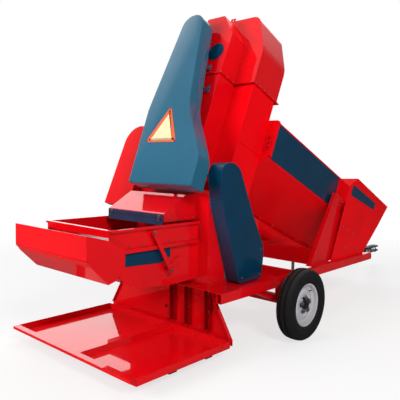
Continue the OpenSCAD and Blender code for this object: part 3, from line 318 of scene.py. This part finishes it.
def bentRod(bm, points, radius):
    ring = bmesh.ops.create_circle(bm, cap_ends=True, segments=12, radius=radius)["verts"]
    start, ahead = Vector(points[0]), (Vector(points[1]) - Vector(points[0])).normalized()
    turn = ahead.to_track_quat("Z", "Y").to_matrix().to_4x4()
    bmesh.ops.transform(bm, matrix=Matrix.Translation(start) @ turn, verts=ring)
    face = [f for f in ring[0].link_faces if all(v in ring for v in f.verts)][0]
    for k in range(1, len(points)):
        here = Vector(points[k])
        move = here - Vector(points[k - 1])
        nxt = (Vector(points[k + 1]) - here).normalized() if k + 1 < len(points) else move.normalized()
        face = bmesh.ops.extrude_discrete_faces(bm, faces=[face])["faces"][0]
        bmesh.ops.translate(bm, vec=move, verts=face.verts)
        mid = (move.normalized() + nxt).normalized()
        swing = ahead.rotation_difference(mid).to_matrix()
        bmesh.ops.rotate(bm, cent=here, matrix=swing, verts=face.verts)
        ahead = mid


tallGuard = {"face": -1.710, "back": -1.540, "edge": 0.008, "wall": 0.0035,
             "outline": [(0.235, 0.966), (0.296, 1.760), (0.187, 2.845), (-0.067, 2.845), (-0.176, 2.226),
                         (-0.268, 1.768), (-0.506, 1.403), (-0.600, 1.238), (-0.610, 0.966)],
             "radii": [0.02, 0.05, 0.115, 0.115, 0.05, 0.10, 0.10, 0.05, 0.02],
             "brackets": [(-0.200, 2.080), (-0.125, 2.330), (0.120, 2.080), (0.120, 1.500), (-0.230, 1.500)],
             "legFace": -1.462, "bracket": 0.006, "half": 0.02, "shelf": (-0.020, -0.014), "shelfIn": 0.01,
             "tab": (-0.016, 0.045), "tabBolt": 0.022, "boltWide": 0.014}


def makeTallGuard(g):
    bm = bmesh.new()
    depth = (g["face"] - g["back"], 0, 0)
    pressedShell(bm, g["outline"], g["radii"], lambda y, w: (g["back"], y, w), depth, g["edge"], g["wall"])
    leg, tabFace, half = g["legFace"], g["legFace"] - g["bracket"], g["half"]
    for y, w in g["brackets"]:
        for start, (low, high) in ((g["back"] - g["shelfIn"], g["shelf"]), (tabFace, g["tab"])):
            addBox(bm, (start, y - half, w + low), (leg, y + half, w + high))
    shell = finishPiece("tallGuardShell", bm, navyPaint, "chassis", 40, leanMatrix)
    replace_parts(shell, "tall_guard")
    bolts = bmesh.new()
    for y, w in g["brackets"]:
        addBolt(bolts, (tabFace, y, w + g["tabBolt"]), (-1, 0, 0), g["boltWide"])
    finishPiece("tallGuardBolts", bolts, zinc, "chassis", 30, leanMatrix)


makeTallGuard(tallGuard)

sign = {"corners": [(-0.036, 1.778), (0.172, 1.390), (-0.252, 1.390)], "round": 0.040, "face": -1.7103,
        "thick": 0.003, "border": 0.042}


def makeSign(g):
    border = bmesh.new()
    outlineFace(border, g["corners"], lambda y, w: (g["face"], y, w))
    roundCorners(border, border.faces[:][0], [g["round"]] * 3)
    field = border.copy()
    inset = {"thickness": g["border"], "use_boundary": True, "use_even_offset": True}
    ring = bmesh.ops.inset_region(border, faces=border.faces[:], **inset)["faces"]
    bmesh.ops.delete(border, geom=[f for f in border.faces if f not in ring], context="FACES")
    ring = bmesh.ops.inset_region(field, faces=field.faces[:], **inset)["faces"]
    bmesh.ops.delete(field, geom=ring, context="FACES")
    for name, part, mat in (("signBorder", border, signOrange), ("signField", field, cream)):
        pushFaces(part, part.faces[:], (-g["thick"], 0, 0))
        finishPiece(name, part, mat, "chassis", 40, leanMatrix)


makeSign(sign)

crossX, crossZ = -0.7830, 1.6360  # cross shaft
sideGuard = {"face": -0.719, "back": -0.565, "edge": 0.008, "wall": 0.0035,
             "outline": [(crossX - 0.128, crossZ + 0.128), (crossX - 0.128, crossZ - 0.02),
                         (crossX - 0.096, crossZ - 0.26), (-0.614, 0.610), (-0.262, 0.610), (-0.230, 0.800),
                         (-0.230, 0.925), (-0.437, 1.300), (crossX + 0.126, crossZ + 0.128)],
             "radii": [0.110, 0.02, 0.06, 0.02, 0.02, 0.04, 0.04, 0.08, 0.110],
             "bolts": [(-0.58, 0.66), (-0.30, 0.66), (-0.28, 0.90)]}


def makeSideGuard(g):
    bm = bmesh.new()
    depth = (0, g["face"] - g["back"], 0)
    pressedShell(bm, g["outline"], g["radii"], lambda x, z: (x, g["back"], z), depth, g["edge"], g["wall"])
    shell = finishPiece("sideGuardShell", bm, panelPaint, "chassis", 40, levelMatrix)
    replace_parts(shell, "small_guard")
    bolts = bmesh.new()
    for x, z in g["bolts"]:
        addBolt(bolts, (x, g["face"], z), (0, -1, 0))
    finishPiece("sideGuardBolts", bolts, zinc, "chassis", 30, levelMatrix)


makeSideGuard(sideGuard)
print("guards done")

wheel = {"places": {"right_wheel": (-1.034, -1), "left_wheel": (1.034, 1)}, "axleZ": 0.360, "steps": 108,
         "side": [(0.2068, 0.037), (0.2068, 0.055), (0.2150, 0.066), (0.2290, 0.076), (0.2310, 0.0785),
                  (0.2350, 0.0785), (0.2370, 0.0785), (0.2600, 0.0860), (0.2780, 0.0895), (0.2960, 0.0880),
                  (0.2980, 0.0895), (0.3020, 0.0890), (0.3040, 0.0860), (0.3230, 0.0830), (0.3360, 0.0775),
                  (0.3430, 0.0715)],
         "inner": [(0.250, 0.062), (0.318, 0.066), (0.330, 0.040)],
         "tread": 0.360, "crown": 0.010, "treadHalf": 0.0715, "shoulder": 0.0560, "shoulderR": 0.343,
         "ribs": (0.0350, 0.0210), "groove": 0.013, "grooveSide": 0.002, "blockEvery": 6, "blockDeep": 0.006,
         "nuts": 5, "nutCircle": 0.070, "nutFace": 0.047, "nut": (0.030, 0.014),
         "stem": (0.0045, 0.0035, 0.036), "stemPlace": (0.118, 0.030, 0.118), "stemLean": -1.2}


def makeTyre(g, body):
    place, out = g["places"][body]
    bm = bmesh.new()
    top = lambda y: g["tread"] - g["crown"] * (y / g["treadHalf"]) ** 2
    ribEnd, nextRib = g["ribs"]
    deep, wall = g["groove"], g["grooveSide"]
    half = g["side"] + [(top(g["shoulder"]), g["shoulder"]), (top(ribEnd), ribEnd),
                        (top(ribEnd) - deep, ribEnd - wall), (top(nextRib) - deep, nextRib + wall),
                        (top(nextRib), nextRib)]
    loop = half + [(r, -y) for r, y in reversed(half)]
    loop += [(r, -y) for r, y in g["inner"]] + [(r, y) for r, y in reversed(g["inner"])]
    centre = Vector((shiftX, place, g["axleZ"]))
    ring = outlineFace(bm, loop, lambda r, y: centre + Vector((0, y * out, r)))
    turns = {"axis": (0, 1, 0), "angle": 2 * math.pi, "steps": g["steps"], "use_merge": True}
    bmesh.ops.spin(bm, geom=[ring], cent=centre, **turns)
    bmesh.ops.delete(bm, geom=[f for f in bm.faces if len(f.verts) > 4], context="FACES_ONLY")
    bmesh.ops.remove_doubles(bm, verts=bm.verts, dist=0.0001)
    bmesh.ops.recalc_face_normals(bm, faces=bm.faces)
    blocks = []
    for f in bm.faces:  # notches between the shoulder blocks
        mid = f.calc_center_median() - centre
        turned = math.atan2(mid.x, mid.z) / (2 * math.pi) * g["steps"]
        onShoulder = g["shoulder"] < abs(mid.y) < g["treadHalf"] and math.hypot(mid.x, mid.z) > g["shoulderR"]
        if onShoulder and int(round(turned * 2)) % g["blockEvery"] == 0:
            blocks.append(f)
    for f in bmesh.ops.extrude_discrete_faces(bm, faces=blocks)["faces"]:
        inward = centre - f.calc_center_median()
        inward.y = 0
        bmesh.ops.translate(bm, vec=inward.normalized() * g["blockDeep"], verts=f.verts)
    side = "right" if out < 0 else "left"
    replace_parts(finishPiece(side + "Tyre", bm, tyreRubber, body, 32), side + "_tyre")
    nuts = bmesh.new()
    for i in range(g["nuts"]):
        a = i * 2 * math.pi / g["nuts"]
        spot = Vector((g["nutCircle"] * math.sin(a), out * g["nutFace"], g["nutCircle"] * math.cos(a)))
        addBolt(nuts, centre + spot, (0, out, 0), *g["nut"])
    finishPiece(side + "WheelNuts", nuts, zinc, body, 30)
    stem = bmesh.new()
    base, tip, long = g["stem"]
    tube = bmesh.ops.create_cone(stem, cap_ends=True, segments=14, radius1=base, radius2=tip, depth=long)
    x, y, z = g["stemPlace"]
    spot = Matrix.Translation(centre + Vector((x, out * y, z)))
    bmesh.ops.transform(stem, matrix=spot @ Matrix.Rotation(out * g["stemLean"], 4, "X"), verts=tube["verts"])
    finishPiece(side + "ValveStem", stem, blackPaint, body, 40)


for body in wheel["places"]:
    makeTyre(wheel, body)
print("wheels done")

hopperBits = {"flangeY": 0.182, "flangeTop": 1.208, "flangeLow": 1.200, "from": -0.60, "to": 1.40, "bolts": 8,
              "joint": [(0.578, 1.700), (0.652, 1.712), (0.662, 1.880), (0.578, 1.868)], "jointX": -0.822,
              "jointDeep": 0.005, "slotDeep": 0.001, "holeR": 0.012,
              "holes": [(0.622, 1.738), (0.622, 1.790), (0.622, 1.842)]}


def makeHopperBits(g):
    bolts = bmesh.new()
    for side in mirrored:
        for w, face in ((g["flangeTop"], 1), (g["flangeLow"], -1)):
            start, end = (g["from"], side * g["flangeY"], w), (g["to"], side * g["flangeY"], w)
            boltRow(bolts, start, end, g["bolts"], (0, 0, face))
    finishPiece("hopperBolts", bolts, zinc, "chassis", 30, leanMatrix)
    plates = bmesh.new()
    turn = Matrix.Rotation(math.pi / 2, 4, "Y")
    for side in mirrored:
        edge = [(side * y, w) for y, w in g["joint"]]
        holes = [(side * y, w, g["holeR"]) for y, w in g["holes"]]
        onJoint = lambda y, w: Vector((g["jointX"], y, w))
        holedPlate(plates, edge, holes, onJoint, turn, (-g["jointDeep"], 0, 0))
    finishPiece("hopperJointPlates", plates, redPaint, "chassis", 30, leanMatrix)
    # black discs just behind the joint plate holes: painted shade, not a real part
    slotShadeDiscs = bmesh.new()
    for side in mirrored:
        for y, w in g["holes"]:  # black discs in the slots: painted shade that makes the holes read deep
            cap = bmesh.ops.create_circle(slotShadeDiscs, cap_ends=True, segments=20, radius=g["holeR"])["verts"]
            spot = Matrix.Translation((g["jointX"] - g["slotDeep"], side * y, w))
            bmesh.ops.transform(slotShadeDiscs, matrix=spot @ turn, verts=cap)
    finishPiece("hopperSlotShadeDiscs", slotShadeDiscs, blackPaint, "chassis", 30, leanMatrix)


makeHopperBits(hopperBits)

frontBox = {"face": 0.780, "plate": [(0.862, 1.870), (0.884, 2.014), (1.608, 2.030), (1.598, 1.930)],
            "round": 0.030, "thick": 0.003, "boltFace": 0.7795, "boltWide": 0.014,
            "bolts": [(0.860, 1.451), (1.006, 1.448), (1.162, 1.455), (1.046, 1.235), (1.385, 1.309)],
            "bendW": 1.766, "slope": (0.0245, 0.906)}  # the wall leans in below the bend


def makeFrontBox(g):
    for side in mirrored:
        bm = bmesh.new()
        face = outlineFace(bm, g["plate"], lambda u, w: (u, side * g["face"], w))
        roundCorners(bm, face, [g["round"]] * 4)
        pushFaces(bm, bm.faces[:], (0, side * g["thick"], 0))
        name = "frontPlate" + ("Right" if side < 0 else "Left")
        finishPiece(name, bm, panelPaint, "chassis", 40, leanMatrix)
    bolts = bmesh.new()
    inset, drop = g["slope"]
    for side in mirrored:
        for u, w in g["bolts"]:
            lean = (g["bendW"] - w) / drop * inset
            addBolt(bolts, (u, side * (g["boltFace"] - lean), w), (0, side, 0), g["boltWide"])
    finishPiece("frontBolts", bolts, zinc, "chassis", 30, leanMatrix)


makeFrontBox(frontBox)
print("hopper bits done")

flap = {"face": -1.305, "half": 0.388, "low": 1.196, "high": 1.293, "thick": 0.006, "grid": (36, 8),
        "off": 0.0045, "swell": (0.0035, 9.0), "ripple": (0.002, 23.0, 1.0),
        "bar": (1.252, 1.292), "barOff": (0.0125, 0.0085), "soft": 0.0012,
        "hooks": (-0.343, 0.331), "hookZ": 1.272, "hookBolt": 0.022, "rodOff": 0.021, "rodR": 0.0035,
        "bend": 0.012, "bendZ": 1.246, "rodTop": (1.300, 1.262), "rodEnd": 1.256}


def makeFlap(g):
    bm = bmesh.new()
    columns, rows = g["grid"]
    for v in bmesh.ops.create_grid(bm, x_segments=columns, y_segments=rows, size=0.5)["verts"]:
        across, down = v.co.x * 2, v.co.y + 0.5
        hang = (1 - down) ** 2
        sway = g["swell"][0] * math.sin(across * g["swell"][1])
        sway += g["ripple"][0] * math.sin(across * g["ripple"][1] + g["ripple"][2])
        x = g["face"] - g["off"] - hang * (g["off"] + sway)
        v.co = (x, across * g["half"], g["low"] + down * (g["high"] - g["low"]))
    bmesh.ops.recalc_face_normals(bm, faces=bm.faces)
    bmesh.ops.solidify(bm, geom=bm.faces[:], thickness=g["thick"])
    sheet = finishPiece("flapSheet", bm, flapRubber, "chassis", 50, levelMatrix)
    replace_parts(sheet, "rubber_flap")
    bar = bmesh.new()
    rear, front = (g["face"] - d for d in g["barOff"])
    addBox(bar, (rear, -g["half"], g["bar"][0]), (front, g["half"], g["bar"][1]))
    softEdges(bar, bar.edges[:], g["soft"])
    finishPiece("flapBar", bar, flapRubber, "chassis", 40, levelMatrix)
    hooks = bmesh.new()
    x, r = g["face"] - g["rodOff"], g["bend"]
    for y in g["hooks"]:
        addBolt(hooks, (rear, y, g["hookZ"]), (-1, 0, 0), g["hookBolt"])
        arc = [i * math.pi / 6 for i in range(7)]
        bend = [(x, y + r * math.cos(t), g["bendZ"] - r * math.sin(t)) for t in arc]
        bentRod(hooks, [(x, y + r, z) for z in g["rodTop"]] + bend + [(x, y - r, g["rodEnd"])], g["rodR"])
    finishPiece("flapHooks", hooks, zinc, "chassis", 45, levelMatrix)


makeFlap(flap)

stand = {"rear": -0.886, "front": -0.880,
         "edge": [(-0.600, 0.595), (0.600, 0.595), (0.862, 0.165), (0.862, 0.110),
                  (-0.862, 0.110), (-0.862, 0.165)],
         "socket": (0.0, 0.305, 0.0212), "socketHalf": 0.022, "socketDeep": (0.001, 0.010),
         "channels": (-0.578, -0.318, -0.115), "half": 0.034, "lip": -0.920,
         "from": 0.190, "to": 0.571, "wall": 0.004,
         "fold": [(0.600, 0.595), (0.850, 0.184), (0.844, 0.184), (0.594, 0.595)], "foldTo": -0.914,
         "lugs": (-0.620, 0.620), "hinge": (-0.906, 0.140), "lugR": 0.018, "lugHalf": 0.012, "lugW": 0.030,
         "lugSteps": 20, "bore": 0.01005}


def makeStand(g):
    bm = bmesh.new()
    square = Matrix.Rotation(math.pi / 2, 4, "Y") @ Matrix.Rotation(math.pi / 4, 4, "Z")
    onRear = lambda y, z: Vector((g["rear"], y, z))
    holedPlate(bm, g["edge"], [g["socket"]], onRear, square, (g["front"] - g["rear"], 0, 0), 4)
    for side in mirrored:
        wing = outlineFace(bm, [(side * y, z) for y, z in g["fold"]], onRear)
        pushFaces(bm, [wing], (g["foldTo"] - g["rear"], 0, 0))
    ribs = bmesh.new()
    inner = g["half"] - g["wall"]
    for y in g["channels"]:  # open channels
        for side in mirrored:
            walls = sorted((y + side * g["half"], y + side * inner))
            addBox(ribs, (g["lip"], walls[0], g["from"]), (g["rear"], walls[1], g["to"]))
        addBox(ribs, (g["rear"] - g["wall"], y - inner, g["from"]), (g["rear"], y + inner, g["to"]))
    # the channels use the darker red: painted shade in their hollows
    finishPiece("standChannels", ribs, shadedRed, "chassis", 30, levelMatrix)
    hx, hz = g["hinge"]
    start = math.asin(g["lugHalf"] / g["lugR"])
    steps = [start + i * (2 * math.pi - 2 * start) / g["lugSteps"] for i in range(g["lugSteps"] + 1)]
    shape = [(hx + g["lugR"] * math.cos(t), hz + g["lugR"] * math.sin(t)) for t in steps]
    shape = [(g["rear"], hz + g["lugHalf"])] + shape + [(g["rear"], hz - g["lugHalf"])]
    across = Matrix.Rotation(math.pi / 2, 4, "X")
    for y in g["lugs"]:
        onLug = lambda x, z: Vector((x, y, z))
        holedPlate(bm, shape, [(hx, hz, g["bore"])], onLug, across, (0, g["lugW"], 0))
    plate = finishPiece("standPlate", bm, redPaint, "chassis", 30, levelMatrix)
    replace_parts(plate, "stand_plate")
    # black box behind the square socket hole: painted shade so the hole reads deep
    dark = bmesh.new()
    half, z = g["socketHalf"], g["socket"][1]
    near, far = (g["front"] + d for d in g["socketDeep"])
    addBox(dark, (near, -half, z - half), (far, half, z + half))
    finishPiece("standSocketShade", dark, blackPaint, "chassis", 30, levelMatrix)


makeStand(stand)

frameBits = {"hats": (-0.578, -0.318), "hatFace": -0.890, "hatZ": (0.368, 0.548), "wide": 0.010,
             "baseRow": (-0.860, -0.130, 0.553, 0.630, 9),  # from, to, side, height, count
             "shoeRow": (-1.900, -0.980, 0.448, 1.066, 7), "shoeWide": 0.009,
             "chuteRow": [(-1.240, 1.250), (-0.930, 1.243)], "chuteY": 0.390, "chuteBolts": 4,
             "lowPin": (-1.301, 0.808), "highPin": (-1.503, 1.160), "pinEnd": 0.496, "pin": (0.018, 0.008)}


def makeFrameBits(g):
    bolts = bmesh.new()
    for y in g["hats"]:
        for z in g["hatZ"]:
            addBolt(bolts, (g["hatFace"], y, z), (-1, 0, 0))
    for side in mirrored:
        start, end, y, z, count = g["baseRow"]
        boltRow(bolts, (start, side * y, z), (end, side * y, z), count, (0, side, 0), g["wide"])
        start, end = ((x, side * g["chuteY"], z) for x, z in g["chuteRow"])
        boltRow(bolts, start, end, g["chuteBolts"], (0, side, 0), g["wide"])
        x, z = g["lowPin"]
        addBolt(bolts, (x, side * g["pinEnd"], z), (0, side, 0), *g["pin"])
    finishPiece("frameBolts", bolts, zinc, "chassis", 30, levelMatrix)
    shoe = bmesh.new()
    for side in mirrored:
        start, end, y, z, count = g["shoeRow"]
        boltRow(shoe, (start, side * y, z), (end, side * y, z), count, (0, side, 0), g["shoeWide"])
        x, z = g["highPin"]
        addBolt(shoe, (x, side * g["pinEnd"], z), (0, side, 0), *g["pin"])
    finishPiece("shoeBolts", shoe, zinc, "shoe", 30, levelMatrix)


makeFrameBits(frameBits)

shoeLips = {"bead": (-2.2178, 0.530, 1.004, 1.012), "beadDeep": 0.018, "lip": (-1.822, -0.914, 1.010, 1.0415),
            "walls": (0.4645, 0.468), "soft": 0.0012}


def makeShoeLips(g):
    bm = bmesh.new()
    rear, half, low, high = g["bead"]
    addBox(bm, (rear, -half, low), (rear + g["beadDeep"], half, high))
    start, end, low, high = g["lip"]
    for side in mirrored:
        inner, outer = sorted(side * y for y in g["walls"])
        addBox(bm, (start, inner, low), (end, outer, high))
    softEdges(bm, bm.edges[:], g["soft"])
    finishPiece("shoeLips", bm, redPaint, "shoe", 40, levelMatrix)


makeShoeLips(shoeLips)

hoodBolts = {"face": 2.268, "wide": 0.010, "front": (-0.778, 0.500, 7),
             "sides": [(-1.215, -0.800, 0.5675, 6), (-1.470, -1.260, 0.3100, 3)]}  # from, to, side, count


def makeHoodBolts(g):
    bm = bmesh.new()
    w = g["face"]
    for side in mirrored:
        for start, end, y, count in g["sides"]:
            boltRow(bm, (start, side * y, w), (end, side * y, w), count, (0, 0, 1), g["wide"])
    u, half, count = g["front"]
    boltRow(bm, (u, -half, w), (u, half, w), count, (0, 0, 1), g["wide"])
    finishPiece("hoodBolts", bm, zinc, "chassis", 30, leanMatrix)


makeHoodBolts(hoodBolts)

capSheet = {"from": -1.4615, "to": -1.2315, "top": (0.1105, 2.9702), "low": (0.2995, 2.7208), "thick": 0.002}


def makeCapSheets(g):
    bm = bmesh.new()
    top, low = Vector(g["top"]), Vector(g["low"])
    along = (low - top).normalized()
    lift = Vector((-along.y, along.x)) * g["thick"]
    for side in mirrored:
        edge = [(side * q.x, q.y) for q in (top, low, low + lift, top + lift)]
        cap = outlineFace(bm, edge, lambda y, w: (g["from"], y, w))
        pushFaces(bm, [cap], (g["to"] - g["from"], 0, 0))
    finishPiece("legCapSheets", bm, softRed, "chassis", 30, leanMatrix)


makeCapSheets(capSheet)

postBits = {"plate": [(0.610, 1.650), (0.770, 1.650), (0.770, 1.785), (0.610, 1.785)], "face": 0.727,
            "thick": 0.005,
            "web": [(0.765, 0.979), (0.765, 1.620), (0.870, 1.620), (0.870, 1.021)],
            "webIn": 0.008, "webThick": 0.004,
            "holes": [(0.640, 1.690, 0.009), (0.700, 1.690, 0.009), (0.640, 1.735, 0.009),
                      (0.700, 1.735, 0.009), (0.670, 1.768, 0.007)],
            "bolts": [(0.740, 1.680), (0.740, 1.730), (0.740, 1.765)]}


def makePostBits(g):
    plates = bmesh.new()
    turn = Matrix.Rotation(math.pi / 2, 4, "X")
    for side in mirrored:
        onFace = lambda u, w: Vector((u, side * g["face"], w))
        holedPlate(plates, g["plate"], g["holes"], onFace, turn, (0, side * g["thick"], 0))
        web = outlineFace(plates, g["web"], lambda u, w: (u, side * (g["face"] - g["webIn"]), w))
        pushFaces(plates, [web], (0, side * g["webThick"], 0))
    finishPiece("postPlates", plates, redPaint, "chassis", 30, leanMatrix)
    bolts = bmesh.new()
    for side in mirrored:
        for u, w in g["bolts"]:
            addBolt(bolts, (u, side * (g["face"] + g["thick"]), w), (0, side, 0))
    finishPiece("postBolts", bolts, zinc, "chassis", 30, leanMatrix)


makePostBits(postBits)

pullLoop = {"radius": 0.006, "z": 0.628, "y": -0.786, "back": 2.095, "front": 2.330, "half": 0.035,
            "flat": 0.3, "drop": 0.012, "foot": -0.030, "neck": 0.010,
            "rise": (0.03, 0.005, 0.030), "tail": (0.04, -0.008, -0.022)}


def makePullLoop(g):
    bm = bmesh.new()
    r, y, z, end = g["half"], g["y"], g["z"], g["front"] - g["half"]
    steps = [i * math.pi / 8 for i in range(9)]
    arc = [(end + r * math.sin(t), y + r * g["flat"] * math.cos(t), z - g["drop"] + r * math.cos(t))
           for t in steps]
    post = Vector((g["back"], y, z))
    leg = [post + Vector((0, 0, g["foot"])), post + Vector((0, 0, g["neck"])), post + Vector(g["rise"])]
    bentRod(bm, leg + arc + [post + Vector(g["tail"])], g["radius"])
    finishPiece("railPullLoop", bm, darkPaint, "chassis", 50, levelMatrix)


makePullLoop(pullLoop)
print("small fittings done")


def seenDirect(tree, ray):
    return (Sock(tree, ray["Is Camera Ray"]) + Sock(tree, ray["Is Transmission Ray"])).clamp()


ground = {"half": 60, "colour": (0.86, 0.86, 0.86, 1), "rough": 0.9, "mirror": 0.12,
          "shade": (3.0, 4.0), "shadeDeep": 0.3}


def makeFloor(g):
    bm = bmesh.new()
    bmesh.ops.create_grid(bm, x_segments=1, y_segments=1, size=g["half"])
    mesh = bpy.data.meshes.new("floor")
    bm.to_mesh(mesh)
    bm.free()
    floor = bpy.data.objects.new("floor", mesh)
    scene.collection.objects.link(floor)
    mat, tree, bsdf, p = newMaterial("floorWhite", Base_Color=g["colour"], Roughness=g["rough"])
    ray = tree.nodes.new("ShaderNodeLightPath").outputs
    glow = p.node("ShaderNodeEmission", Strength=1.0)
    grey = p.node("ShaderNodeEmission", Strength=g["mirror"])
    away = ((axisOf(p, 0) ** 2.0 + axisOf(p, 1) ** 2.0) ** 0.5).over(*g["shade"])
    white = seenDirect(tree, ray) * (away * g["shadeDeep"] + (1 - g["shadeDeep"]))  # shadow near the wheels
    mirror = Sock(tree, ray["Is Glossy Ray"])
    matt = p.node("ShaderNodeMixShader", i0=mirror, i1=Sock(tree, bsdf.outputs[0]), i2=grey)
    shown = p.node("ShaderNodeMixShader", i0=white, i1=matt, i2=glow)
    tree.links.new(shown.socket, tree.nodes["Material Output"].inputs[0])
    mesh.materials.append(mat)


makeFloor(ground)

studio = {"fill": 0.16, "toward": (0.503, 0.704, 0.503), "patch": (0.62, 0.30), "patchGlow": 2.0,
          "sky": (0.30, 0.6), "skyGlow": 0.7, "skyLow": 0.12}


def makeWorld(g):
    world = bpy.data.worlds.new("studio")
    scene.world = world
    world.use_nodes = True
    tree = world.node_tree
    ray = tree.nodes.new("ShaderNodeLightPath").outputs
    way = Sock(tree, tree.nodes.new("ShaderNodeTexCoord").outputs["Generated"])
    glow = lambda strength: way.node("ShaderNodeBackground", Color=(1, 1, 1, 1), Strength=strength)
    x, y, z = (axisOf(way, i) for i in range(3))
    alongX, alongY, alongZ = g["toward"]
    toward = x * alongX + y * alongY + z * alongZ
    sky = z.over(*g["sky"]) * g["skyGlow"] + g["skyLow"]
    backdrop = glow(toward.over(*g["patch"]) * g["patchGlow"] + sky)  # bright behind the left front
    mirror = Sock(tree, ray["Is Glossy Ray"])
    lit = way.node("ShaderNodeMixShader", i0=mirror, i1=glow(g["fill"]), i2=backdrop)
    shown = way.node("ShaderNodeMixShader", i0=seenDirect(tree, ray), i1=lit, i2=glow(1.0))
    tree.links.new(shown.socket, tree.nodes["World Output"].inputs[0])


makeWorld(studio)

lamps = {"key": ((-5.5, -8.0, 6.5), (-0.6, 0, 1.0), 3.0, 630),  # place, target, size, power
         "rear": ((-9.5, 2.4, 4.4), (-1.8, 0, 1.2), 4.0, 560),
         "top": ((1.0, 1.0, 9.0), (0, 0, 1.0), 5.0, 230),
         "front": ((7.5, 4.5, 5.0), (1.0, 0, 1.0), 4.0, 160)}


def areaLight(name, place, target, size, power):
    data = bpy.data.lights.new(name, "AREA")
    data.shape = "DISK"
    data.size = size
    data.energy = power
    obj = bpy.data.objects.new(name, data)
    obj.location = place
    obj.rotation_mode = "QUATERNION"
    obj.rotation_quaternion = (Vector(target) - Vector(place)).to_track_quat("-Z", "Y")
    obj.visible_glossy = False  # paint mirrors the backdrop, not the lamps
    scene.collection.objects.link(obj)


for name, lamp in lamps.items():
    areaLight(name, *lamp)
print("stage done")

camPlace = {"eye": (-4.380, -3.626, 1.768), "yaw": 0.7394, "pitch": 0.0761, "roll": 0.0168,
            "focal": 505.06, "pixels": 400, "sensor": 36, "far": 200}


def makeCamera(g):
    data = bpy.data.cameras.new("camera")
    data.sensor_width = g["sensor"]
    data.lens = g["focal"] / g["pixels"] * g["sensor"]
    data.clip_end = g["far"]
    cy, sy = math.cos(g["yaw"]), math.sin(g["yaw"])
    cp, sp = math.cos(g["pitch"]), math.sin(g["pitch"])
    cr, sr = math.cos(g["roll"]), math.sin(g["roll"])
    ahead = Vector((cy * cp, sy * cp, -sp))
    right = Vector((sy, -cy, 0))
    up = right.cross(ahead)
    right, up = right * cr + up * sr, up * cr - right * sr
    turn = Matrix((right, up, -ahead)).transposed()
    camera = bpy.data.objects.new("camera", data)
    camera.matrix_world = Matrix.Translation(Vector(g["eye"]) + Vector((shiftX, 0, 0))) @ turn.to_4x4()
    scene.collection.objects.link(camera)
    scene.camera = camera


makeCamera(camPlace)
scene.view_settings.view_transform = "Standard"
